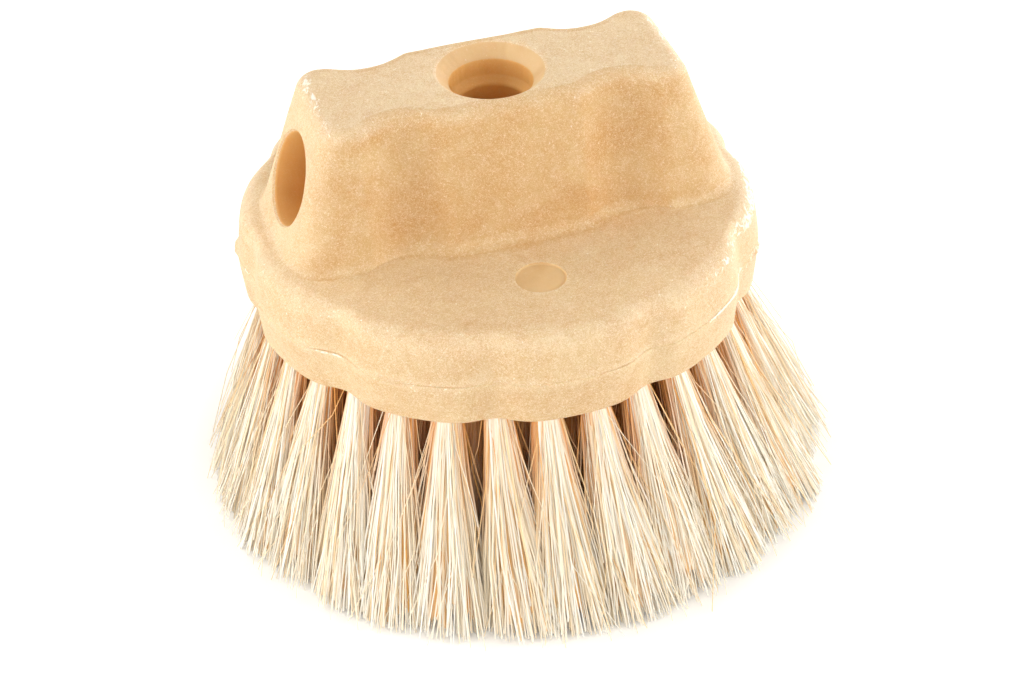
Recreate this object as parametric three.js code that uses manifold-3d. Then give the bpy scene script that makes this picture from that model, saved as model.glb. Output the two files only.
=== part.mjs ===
// A round hand-held wash brush: a moulded structural-foam block with a grip ridge,
// two handle sockets and rows of plant-fibre tufts, each held by a flat-wire anchor.
// Millimetres, +Z up. The origin is on the floor, under the middle of the block, with
// the fibre tips at z = 0 and the grip ridge along X.
import * as THREE from "three";
import { mergeVertices } from "three/addons/utils/BufferGeometryUtils.js";
import Module from "manifold-3d";

const wasm = await Module();
wasm.setup();

// Fits
const CLEARANCE = 0.3; // between any two pieces
const CUT_PAST = 1; // how far a cut runs past the face that it opens
const SAME_POINT = 1e-4; // points nearer than this are one

// Round base of the block
const BLOCK_RADIUS = 63.5; // over the lobes, at the parting line
const RIM_HEIGHT = 23.8; // underside to the flat top of the base
const PARTING_HEIGHT = 11.6; // parting line above the underside
const RIM_FOOT_INSET = 1; // the rim is this much smaller at the underside
const RIM_FOOT_CHAMFER = 0.8;
const RIM_DRAFT = 0.8; // and this much smaller where the top edge starts to round
const RIM_EDGE_RADIUS = 5;
const NOTCH_COUNT = 10; // finger notches around the rim
const NOTCH_DEPTH = 2.4;
const NOTCH_WIDTH = 12;

// Round marks left by the mould's ejector pins on the flat top, before and behind the ridge
const MARK_DIAMETER = 12;
const MARK_DEPTH = 0.5;
const MARK_DISTANCE = 38.7; // from the middle

// Grip ridge
const RIDGE_HEIGHT = 34; // above the flat top of the base
const RIDGE_BASE_LENGTH = 111;
const RIDGE_BASE_WIDTH = 44.4;
const RIDGE_BASE_CORNER = 12;
const RIDGE_TOP_LENGTH = 87.4;
const RIDGE_TOP_WIDTH = 32.6;
const RIDGE_TOP_CORNER = 5.5;
const RIDGE_FOOT_FILLET = 4.2;
const RIDGE_LEDGE = 0.4; // least flat left between the ridge's fillet and the rounded rim
const RIDGE_TOP_FILLET = 4;
const GROOVE_SPACING = 53.2; // between the two finger grooves on each long side
const GROOVE_WIDTH = 19.4;
const GROOVE_DEPTH = 3.4;

// Threaded handle socket, straight down from the middle of the ridge
const COUNTERSINK_DIAMETER = 26.5;
const THREAD_MOUTH_DIAMETER = 20;
const THREAD_MOUTH_DEPTH = 4.5; // plain wall below the countersink
const THREAD_MINOR_DIAMETER = 16.8;
const THREAD_GROOVE_DEPTH = 1.3;
const THREAD_GROOVE_ROOT = 1.9; // width of the groove's floor
const THREAD_FLANK_DEG = 14.5;
const THREAD_PITCH = 5.08;
const THREAD_TURNS = 3;
const THREAD_TAIL = 1.5; // plain wall between the thread and the floor

// Tapered handle socket, square to the sloping end face at -X
const TAPER_MOUTH_DIAMETER = 22.3;
const TAPER_FLOOR_DIAMETER = 18.4;
const TAPER_DEPTH = 28;
const TAPER_RISE = 14.8; // middle of the mouth above the flat top of the base

// Tufts of fibre
const TRIM_LENGTH = 53; // fibre that shows below the block
const TUFT_HOLE_DIAMETER = 6;
const TUFT_HOLE_DEPTH = 12; // along the hole, from the underside
const SLICE_THICKNESS = 2.5; // layer of the underside that a row's strands are fused to
const STRAND_RING = 1.9; // strands round the middle one, at the hole
const STRAND_RADIUS = 0.85;
const FLARE = 4.6; // the same ring of strands, at the tips
const OUTER_EDGE = 3.4; // of the outermost slice past the middle of its holes

// Flat-wire anchors, driven into the holes across the folded tufts
const ANCHOR_WIDTH = 7.4;
const ANCHOR_HEIGHT = 2.2;
const ANCHOR_THICKNESS = 0.5;
const FOLD_THICKNESS = 1.2; // fibre over the anchor, at the bottom of the hole

// Rows of tufts, from the rim inwards. A splay is how far a tuft leans out over its length,
// and a ring is how many strands a tuft has round its middle one.
const OUTER_ROW = { name: "outer", radius: 54, count: 30, splay: 17, ring: 4 };
const SECOND_ROW = { name: "second", radius: 41, count: 22, splay: 11, ring: 4 };
const THIRD_ROW = { radius: 28, count: 14, splay: 6, ring: 3 };
const INNER_ROW = { radius: 15, count: 8, splay: 3, ring: 3 };
const CENTRE_TUFT = { radius: 0, count: 1, splay: 0, ring: 3 };

// Facets
const RIDGE_SIDE_STEPS = 32;
const RIDGE_CORNER_STEPS = 5;
const RIDGE_END_STEPS = 6;
const FILLET_STEPS = 3;
const ROUND_STEPS = 24; // for each turn of a socket, a thread or a mark
const SLICE_STEPS = 32;
const HOLE_SIDES = 6;
const STRAND_SIDES = 3;

// Heights
const UNDERSIDE_Z = TRIM_LENGTH;
const BASE_TOP_Z = UNDERSIDE_Z + RIM_HEIGHT;
const RIDGE_TOP_Z = BASE_TOP_Z + RIDGE_HEIGHT;

const FOAM = new THREE.MeshStandardMaterial({ color: 0xe3bb85, roughness: 0.62, metalness: 0 });
const FIBRE = new THREE.MeshStandardMaterial({ color: 0xf0d9b0, roughness: 0.7, metalness: 0 });
const WIRE = new THREE.MeshStandardMaterial({ color: 0xb9b9b4, roughness: 0.35, metalness: 1 });

// A closed geometry as a solid that can be joined and cut.
function solidOf(geometry) {
  const bare = new THREE.BufferGeometry().setAttribute("position", geometry.getAttribute("position"));
  if (geometry.index) bare.setIndex(geometry.index);
  const merged = mergeVertices(bare, SAME_POINT);
  return new wasm.Manifold(
    new wasm.Mesh({
      numProp: 3,
      vertProperties: new Float32Array(merged.attributes.position.array),
      triVerts: new Uint32Array(merged.index.array),
    }),
  );
}

// A solid back as a geometry.
function geometryOf(solid) {
  const mesh = solid.getMesh();
  return new THREE.BufferGeometry()
    .setAttribute("position", new THREE.BufferAttribute(mesh.vertProperties, 3))
    .setIndex(new THREE.BufferAttribute(mesh.triVerts, 1));
}

// A geometry from points and triangles.
function faceted(points, triangles) {
  return new THREE.BufferGeometry()
    .setAttribute("position", new THREE.Float32BufferAttribute(points.flat(), 3))
    .setIndex(triangles);
}

// The solid between rings of equal length, the lowest first, each anticlockwise seen from above.
function ringSolid(rings) {
  const count = rings[0].length;
  const triangles = [];
  const flat = (ring) => ring.map(([x, y]) => new THREE.Vector2(x, y));
  for (const [a, b, c] of THREE.ShapeUtils.triangulateShape(flat(rings[0]), [])) {
    triangles.push(a, c, b);
  }
  for (let level = 0; level + 1 < rings.length; level++) {
    for (let i = 0; i < count; i++) {
      const next = (i + 1) % count;
      const low = level * count;
      const high = low + count;
      triangles.push(low + i, low + next, high + next, low + i, high + next, high + i);
    }
  }
  const last = (rings.length - 1) * count;
  for (const [a, b, c] of THREE.ShapeUtils.triangulateShape(flat(rings.at(-1)), [])) {
    triangles.push(last + a, last + b, last + c);
  }
  return solidOf(faceted(rings.flat(), triangles));
}

// A solid of revolution about Z from [radius, z] points, the lowest first.
function turned(profile, steps) {
  const points = profile.map(([radius, z]) => new THREE.Vector2(radius, z));
  return solidOf(new THREE.LatheGeometry(points, steps).rotateX(Math.PI / 2));
}

// A box with its middle at the given height.
function boxAt(width, depth, height, z) {
  return solidOf(new THREE.BoxGeometry(width, depth, height).translate(0, 0, z));
}

// A solid moved by a three.js matrix.
function placed(solid, matrix) {
  return solid.transform(matrix.elements);
}

function joined(solids) {
  return wasm.Manifold.union(solids);
}

// Plan of the grip ridge: a rounded rectangle, drawn in at the finger grooves.
function ridgePlan(length, width, corner) {
  const [x, y] = [length / 2, width / 2];
  const plan = [];
  const side = (from, to, steps) => {
    for (let i = 0; i < steps; i++) plan.push(from.clone().lerp(to, i / steps));
  };
  const round = (middle, start) => {
    for (let i = 0; i < RIDGE_CORNER_STEPS; i++) {
      const turn = start + (Math.PI / 2) * (i / RIDGE_CORNER_STEPS);
      plan.push(new THREE.Vector2(Math.cos(turn), Math.sin(turn)).multiplyScalar(corner).add(middle));
    }
  };
  const at = (px, py) => new THREE.Vector2(px, py);
  side(at(corner - x, -y), at(x - corner, -y), RIDGE_SIDE_STEPS);
  round(at(x - corner, corner - y), -Math.PI / 2);
  side(at(x, corner - y), at(x, y - corner), RIDGE_END_STEPS);
  round(at(x - corner, y - corner), 0);
  side(at(x - corner, y), at(corner - x, y), RIDGE_SIDE_STEPS);
  round(at(corner - x, y - corner), Math.PI / 2);
  side(at(-x, y - corner), at(-x, corner - y), RIDGE_END_STEPS);
  round(at(corner - x, corner - y), Math.PI);
  for (const point of plan) {
    const across = (Math.abs(point.x) - GROOVE_SPACING / 2) / (GROOVE_WIDTH / 2);
    point.y *= 1 - (GROOVE_DEPTH / y) * Math.exp(-across * across);
  }
  return plan;
}

// How deep the rim is notched at an angle.
function notchAt(angle) {
  const pitch = (2 * Math.PI) / NOTCH_COUNT;
  const away = (angle - pitch * Math.round(angle / pitch)) * BLOCK_RADIUS;
  return NOTCH_DEPTH * Math.exp(-((away / (NOTCH_WIDTH / 2)) ** 2));
}

// Points round a corner of a profile, from the leg before it to the leg after it. The round
// takes no more of a leg than its room.
function filletPoints(before, corner, after, fullRadius, room) {
  const back = before.clone().sub(corner).normalize();
  const on = after.clone().sub(corner).normalize();
  const half = Math.acos(back.dot(on)) / 2;
  const radius = Math.min(fullRadius, room * Math.tan(half));
  const middle = back.clone().add(on).normalize().multiplyScalar(radius / Math.sin(half)).add(corner);
  const start = back.multiplyScalar(radius / Math.tan(half)).add(corner).sub(middle);
  const end = on.multiplyScalar(radius / Math.tan(half)).add(corner).sub(middle);
  const sweep = Math.atan2(start.cross(end), start.dot(end));
  const points = [];
  for (let i = 0; i <= FILLET_STEPS; i++) {
    points.push(start.clone().rotateAround(new THREE.Vector2(), (sweep * i) / FILLET_STEPS).add(middle));
  }
  return points;
}

// Outer form of the block: the notched rim, the flat top of the base and the grip ridge,
// as rings that follow the plan of the ridge.
function blockForm() {
  const foot = ridgePlan(RIDGE_BASE_LENGTH, RIDGE_BASE_WIDTH, RIDGE_BASE_CORNER);
  const crest = ridgePlan(RIDGE_TOP_LENGTH, RIDGE_TOP_WIDTH, RIDGE_TOP_CORNER);
  const outward = foot.map((point) => point.clone().normalize());
  const rimRing = (radius, z, notched) =>
    outward.map((way) => {
      const reach = radius - notched * notchAt(way.angle());
      return [way.x * reach, way.y * reach, z];
    });
  const footRadius = BLOCK_RADIUS - RIM_FOOT_INSET;
  const edgeRadius = BLOCK_RADIUS - RIM_DRAFT;
  const rings = [
    rimRing(footRadius - RIM_FOOT_CHAMFER, UNDERSIDE_Z, 1),
    rimRing(footRadius, UNDERSIDE_Z + RIM_FOOT_CHAMFER, 1),
    rimRing(BLOCK_RADIUS, UNDERSIDE_Z + PARTING_HEIGHT, 1),
  ];
  for (let i = 0; i <= FILLET_STEPS; i++) {
    const turn = ((Math.PI / 2) * i) / FILLET_STEPS;
    const radius = edgeRadius - RIM_EDGE_RADIUS * (1 - Math.cos(turn));
    rings.push(rimRing(radius, BASE_TOP_Z - RIM_EDGE_RADIUS * (1 - Math.sin(turn)), Math.cos(turn)));
  }
  // Each point of the plan has its own wall profile: distance out from the crest, and height.
  const walls = foot.map((point, i) => {
    const lean = point.distanceTo(crest[i]);
    const low = new THREE.Vector2(lean, BASE_TOP_Z);
    const high = new THREE.Vector2(0, RIDGE_TOP_Z);
    const out = low.clone().add(new THREE.Vector2(1, 0));
    const inside = high.clone().sub(new THREE.Vector2(1, 0));
    const ledge = edgeRadius - RIM_EDGE_RADIUS - point.length() - RIDGE_LEDGE;
    const corners = [
      ...filletPoints(out, low, high, RIDGE_FOOT_FILLET, ledge),
      ...filletPoints(low, high, inside, RIDGE_TOP_FILLET, RIDGE_TOP_FILLET),
    ];
    const way = point.clone().sub(crest[i]).normalize();
    return corners.map((at) => {
      const past = Math.max(at.x - lean, 0);
      const spot = crest[i].clone().addScaledVector(way, at.x - past).addScaledVector(outward[i], past);
      return [spot.x, spot.y, at.y];
    });
  });
  for (let level = 0; level < walls[0].length; level++) rings.push(walls.map((wall) => wall[level]));
  return ringSolid(rings);
}

// The space that the threaded socket takes out of the block, with its floor at the bottom.
function threadedSocket() {
  const mouth = THREAD_MOUTH_DIAMETER / 2;
  const minor = THREAD_MINOR_DIAMETER / 2;
  const sink = COUNTERSINK_DIAMETER / 2;
  const sinkFloor = RIDGE_TOP_Z - (sink - mouth);
  const mouthFloor = sinkFloor - THREAD_MOUTH_DEPTH;
  const threadTop = mouthFloor - (mouth - minor);
  const floor = threadTop - THREAD_TURNS * THREAD_PITCH - THREAD_PITCH - THREAD_TAIL;
  const bore = turned(
    [
      [0, floor],
      [minor, floor],
      [minor, threadTop],
      [mouth, mouthFloor],
      [mouth, sinkFloor],
      [sink, RIDGE_TOP_Z],
      [sink, RIDGE_TOP_Z + CUT_PAST],
      [0, RIDGE_TOP_Z + CUT_PAST],
    ],
    ROUND_STEPS,
  );
  return bore.add(threadGroove(minor, floor + THREAD_TAIL + THREAD_PITCH / 2));
}

// A right-hand helical groove in the socket's wall, rising from its start.
function threadGroove(minor, start) {
  const inside = minor - THREAD_GROOVE_DEPTH / 2;
  const outside = minor + THREAD_GROOVE_DEPTH;
  const root = THREAD_GROOVE_ROOT / 2;
  const mouth = root + (outside - inside) * Math.tan(THREE.MathUtils.degToRad(THREAD_FLANK_DEG));
  const section = [
    [inside, -mouth],
    [outside, -root],
    [outside, root],
    [inside, mouth],
  ];
  const sides = section.length;
  const steps = THREAD_TURNS * ROUND_STEPS;
  const points = [];
  const triangles = [0, 1, 2, 0, 2, 3];
  for (let i = 0; i <= steps; i++) {
    const turn = (2 * Math.PI * i) / ROUND_STEPS;
    for (const [radius, rise] of section) {
      const z = start + (THREAD_PITCH * i) / ROUND_STEPS + rise;
      points.push([radius * Math.cos(turn), radius * Math.sin(turn), z]);
    }
    if (i === steps) break;
    for (let s = 0; s < sides; s++) {
      const [a, b] = [i * sides + s, i * sides + ((s + 1) % sides)];
      triangles.push(a, a + sides, b + sides, a, b + sides, b);
    }
  }
  const end = steps * sides;
  triangles.push(end, end + 2, end + 1, end, end + 3, end + 2);
  return solidOf(faceted(points, triangles));
}

// The space that the tapered socket takes out of the block.
function taperedSocket() {
  const slope = Math.atan2((RIDGE_BASE_LENGTH - RIDGE_TOP_LENGTH) / 2, RIDGE_HEIGHT);
  const faceX = -RIDGE_BASE_LENGTH / 2 + TAPER_RISE * Math.tan(slope);
  const [mouth, floor] = [TAPER_MOUTH_DIAMETER / 2, TAPER_FLOOR_DIAMETER / 2];
  const widening = (mouth - floor) / TAPER_DEPTH;
  const past = TAPER_MOUTH_DIAMETER / 2;
  const bore = turned(
    [
      [0, -TAPER_DEPTH],
      [floor, -TAPER_DEPTH],
      [mouth + widening * past, past],
      [0, past],
    ],
    ROUND_STEPS,
  );
  const place = new THREE.Matrix4()
    .makeTranslation(faceX, 0, BASE_TOP_Z + TAPER_RISE)
    .multiply(new THREE.Matrix4().makeRotationY(slope - Math.PI / 2));
  return placed(bore, place);
}

// Where each tuft of a row is: a frame with its origin at the hole's mouth, X outward and
// Z up along the hole, which leans as the tuft splays.
function tuftFrames(row) {
  const lean = Math.atan2(row.splay, TRIM_LENGTH);
  return Array.from({ length: row.count }, (_, i) =>
    new THREE.Matrix4()
      .makeRotationZ((2 * Math.PI * i) / row.count)
      .multiply(new THREE.Matrix4().makeTranslation(row.radius, 0, UNDERSIDE_Z))
      .multiply(new THREE.Matrix4().makeRotationY(-lean)),
  );
}

function anchorHeight() {
  return TUFT_HOLE_DEPTH - CLEARANCE - FOLD_THICKNESS - ANCHOR_HEIGHT / 2;
}

// A flat-wire anchor in its tuft's frame, or the space for it with a clearance all round.
function anchorBar(clearance = 0) {
  const grown = 2 * clearance;
  return boxAt(ANCHOR_THICKNESS + grown, ANCHOR_WIDTH + grown, ANCHOR_HEIGHT + grown, anchorHeight());
}

// The hole that a tuft is driven into, with the slots that its anchor's ends bite.
function tuftHole(ownAnchor) {
  const radius = TUFT_HOLE_DIAMETER / 2;
  const profile = [
    [0, 0],
    [radius, 0],
    [radius, TUFT_HOLE_DEPTH],
    [0, TUFT_HOLE_DEPTH],
  ];
  const hole = turned(profile, HOLE_SIDES);
  return ownAnchor ? hole.add(anchorBar(CLEARANCE)) : hole;
}

// The folded end of a tuft in its hole. Its anchor passes through it, or is one with it.
function tuftRoot(ownAnchor) {
  const radius = TUFT_HOLE_DIAMETER / 2 - CLEARANCE;
  const profile = [
    [0, SLICE_THICKNESS / 2],
    [radius, SLICE_THICKNESS / 2],
    [radius, TUFT_HOLE_DEPTH - CLEARANCE],
    [0, TUFT_HOLE_DEPTH - CLEARANCE],
  ];
  const root = turned(profile, HOLE_SIDES);
  return ownAnchor ? root.subtract(anchorBar(CLEARANCE)) : root;
}

// One strand of fibre, cut level at both ends.
function strand(top, tip) {
  const ring = (middle) =>
    Array.from({ length: STRAND_SIDES }, (_, i) => {
      const turn = (2 * Math.PI * i) / STRAND_SIDES;
      return [middle.x + STRAND_RADIUS * Math.cos(turn), middle.y + STRAND_RADIUS * Math.sin(turn), middle.z];
    });
  return ringSolid([ring(tip), ring(top)]);
}

// The strands of one row: a middle one and a ring of others to each tuft, flaring to the tips.
function rowStrands(row) {
  const strands = [];
  const topZ = UNDERSIDE_Z + SLICE_THICKNESS / 2;
  for (let i = 0; i < row.count; i++) {
    const turn = (2 * Math.PI * i) / row.count;
    const spot = (radial, sideways, z) =>
      new THREE.Vector3(row.radius + radial, sideways, z).applyAxisAngle(new THREE.Vector3(0, 0, 1), turn);
    strands.push(strand(spot(0, 0, topZ), spot(row.splay, 0, 0)));
    for (let k = 0; k < row.ring; k++) {
      const way = (2 * Math.PI * k) / row.ring;
      const [radial, sideways] = [Math.cos(way), Math.sin(way)];
      const top = spot(STRAND_RING * radial, STRAND_RING * sideways, topZ);
      strands.push(strand(top, spot(row.splay + FLARE * radial, FLARE * sideways, 0)));
    }
  }
  return joined(strands);
}

// The layer of the underside between two radii.
function slice(inner, outer) {
  const top = UNDERSIDE_Z + SLICE_THICKNESS;
  const wall = [
    [outer, UNDERSIDE_Z],
    [outer, top],
  ];
  const hub = [
    [inner, UNDERSIDE_Z],
    ...wall,
    [inner, top],
  ];
  return turned(inner > 0 ? [...hub, hub[0]] : hub, SLICE_STEPS);
}

// A group of rows on one slice, with their strands below it and their folded ends above it.
function tuftGroup(rows, inner, outer, ownAnchors) {
  const root = tuftRoot(ownAnchors);
  const roots = rows.flatMap((row) => tuftFrames(row).map((frame) => placed(root, frame)));
  return joined([slice(inner, outer), ...roots, ...rows.map(rowStrands)]);
}

// The moulded block, with its sockets, its tuft holes and the pocket that the slices lie in.
function mouldedBlock(pocketRadius) {
  const pocketTop = UNDERSIDE_Z + SLICE_THICKNESS + CLEARANCE;
  const pocket = turned(
    [
      [0, UNDERSIDE_Z - CUT_PAST],
      [pocketRadius, UNDERSIDE_Z - CUT_PAST],
      [pocketRadius, pocketTop],
      [0, pocketTop],
    ],
    SLICE_STEPS,
  );
  const mark = turned(
    [
      [0, BASE_TOP_Z - MARK_DEPTH],
      [MARK_DIAMETER / 2, BASE_TOP_Z - MARK_DEPTH],
      [MARK_DIAMETER / 2, BASE_TOP_Z + CUT_PAST],
      [0, BASE_TOP_Z + CUT_PAST],
    ],
    ROUND_STEPS,
  );
  const holes = (rows, ownAnchor) => {
    const hole = tuftHole(ownAnchor);
    return rows.flatMap((row) => tuftFrames(row).map((frame) => placed(hole, frame)));
  };
  const cuts = [
    pocket,
    threadedSocket(),
    taperedSocket(),
    mark.translate(0, MARK_DISTANCE, 0),
    mark.translate(0, -MARK_DISTANCE, 0),
    ...holes(ANCHORED_ROWS, true),
    ...holes(PLAIN_ROWS, false),
  ];
  return blockForm().subtract(joined(cuts));
}

// The anchors of the two outer rows are pieces of their own. Those of the rows inside them
// are one with the folded ends of their tufts.
const ANCHORED_ROWS = [OUTER_ROW, SECOND_ROW];
const PLAIN_ROWS = [THIRD_ROW, INNER_ROW, CENTRE_TUFT];

// The slices meet half-way between their rows.
const between = (row, next) => (row.radius + next.radius) / 2;
const outerEdge = OUTER_ROW.radius + OUTER_EDGE;
const outerInner = between(OUTER_ROW, SECOND_ROW);
const secondThird = between(SECOND_ROW, THIRD_ROW);
const thirdInner = between(THIRD_ROW, INNER_ROW);
const gap = CLEARANCE / 2;

const brush = new THREE.Group();

function addPiece(name, solid, material) {
  const mesh = new THREE.Mesh(geometryOf(solid), material);
  mesh.name = name;
  brush.add(mesh);
}

addPiece("moulded_block", mouldedBlock(outerEdge + CLEARANCE), FOAM);
addPiece("tufts_outer_row", tuftGroup([OUTER_ROW], outerInner + gap, outerEdge, true), FIBRE);
addPiece("tufts_second_row", tuftGroup([SECOND_ROW], secondThird + gap, outerInner - gap, true), FIBRE);
addPiece("tufts_third_row", tuftGroup([THIRD_ROW], thirdInner + gap, secondThird - gap, false), FIBRE);
addPiece("tufts_inner_rows", tuftGroup([INNER_ROW, CENTRE_TUFT], 0, thirdInner - gap, false), FIBRE);

for (const row of ANCHORED_ROWS) {
  tuftFrames(row).forEach((frame, i) => {
    const number = String(i + 1).padStart(2, "0");
    addPiece(`anchor_${row.name}_${number}`, placed(anchorBar(), frame), WIRE);
  });
}

export default brush;
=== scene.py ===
"""Looks of a round wash brush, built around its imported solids.

The block is one structural-foam moulding with a grip ridge and two handle sockets, and the
tufts are dried plant fibre. Sizes are in millimetres, in the frame of the solids: +Z is up,
the grip ridge runs along X and the fibre tips stand on z = 0. Meshes are made in metres.
"""

from __future__ import annotations

import logging
import math
from dataclasses import dataclass, field
from enum import Enum
from typing import Any

import bpy
import numpy as np
from mathutils import Matrix, Vector, noise
from mathutils.kdtree import KDTree


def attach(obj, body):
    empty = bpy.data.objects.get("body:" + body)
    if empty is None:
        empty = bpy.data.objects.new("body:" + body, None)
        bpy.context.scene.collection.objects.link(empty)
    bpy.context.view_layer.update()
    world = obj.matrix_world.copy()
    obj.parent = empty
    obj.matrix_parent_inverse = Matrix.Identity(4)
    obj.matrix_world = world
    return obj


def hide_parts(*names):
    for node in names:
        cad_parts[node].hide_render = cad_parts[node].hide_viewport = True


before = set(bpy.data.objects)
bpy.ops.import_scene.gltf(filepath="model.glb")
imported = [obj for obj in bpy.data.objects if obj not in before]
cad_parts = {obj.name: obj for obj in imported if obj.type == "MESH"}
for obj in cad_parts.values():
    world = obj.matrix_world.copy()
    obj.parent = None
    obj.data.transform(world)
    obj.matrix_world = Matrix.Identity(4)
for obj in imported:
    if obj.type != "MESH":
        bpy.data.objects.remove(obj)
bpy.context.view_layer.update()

BODY = "root"
MILLIMETRE = 0.001
SEED = 20
CUT_PAST = 2.0  # how far a cut runs past the face that it opens, in millimetres
BOW_SCALE = 6.75  # brings the most of part squared times (1 - part) to 1
BAKE_MAP = "OFBake"
# Attribute of wear, which on the flat and the ridge's top also carries painted sheen
WEAR = "wear"
TONE = "tone"
# Attribute with each point's share of the root colour, which paints the warm shade in and between the
# tufts
PAINTED_SHADE = "painted_shade"

# Places of the colour sockets on Blender's Mix node
MIX_A = 6
MIX_B = 7
MIX_OUT = 2

log = logging.getLogger("brush")


class Slot(Enum):
    """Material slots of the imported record."""

    FOAM = "foam_plastic"
    FIBRE = "plant_fibre"


class Face(Enum):
    """Which finish a face of the block takes."""

    SKIN = 0
    BORED = 1
    PRESSED = 2


def linear(code: str) -> tuple[float, float, float, float]:
    """Turns an sRGB hex colour into linear RGBA.

    Args:
        code: The colour, as "#rrggbb".

    Returns:
        Red, green, blue and an alpha of 1.
    """
    shares = [int(code[i : i + 2], 16) / 255 for i in (1, 3, 5)]
    red, green, blue = (c / 12.92 if c <= 0.04045 else ((c + 0.055) / 1.055) ** 2.4 for c in shares)
    return red, green, blue, 1.0


def per_metre(size: float) -> float:
    """Scale of a pattern whose features are about size millimetres wide."""
    return 1 / (size * MILLIMETRE)


def add_node(
    tree: bpy.types.NodeTree,
    kind: str,
    settings: dict[Any, Any] | None = None,
    links: dict[Any, Any] | None = None,
) -> bpy.types.Node:
    """Adds a node with its settings and links.

    Args:
        tree: The node tree.
        kind: Blender's name for the node.
        settings: Properties of the node by name, and values of its inputs by name or place.
        links: Output sockets that feed its inputs, by the input's name or place.

    Returns:
        The node.
    """
    node = tree.nodes.new(kind)
    for name, value in (settings or {}).items():
        if isinstance(name, str) and hasattr(node, name):
            setattr(node, name, value)
        else:
            node.inputs[name].default_value = value
    for name, source in (links or {}).items():
        tree.links.new(source, node.inputs[name])
    return node


def new_tree(name: str) -> tuple[bpy.types.Material, bpy.types.NodeTree]:
    """Makes an empty node material.

    Args:
        name: The material's name.

    Returns:
        The material and its node tree.
    """
    material = bpy.data.materials.new(name)
    material.use_nodes = True
    material.node_tree.nodes.clear()
    return material, material.node_tree


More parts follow.
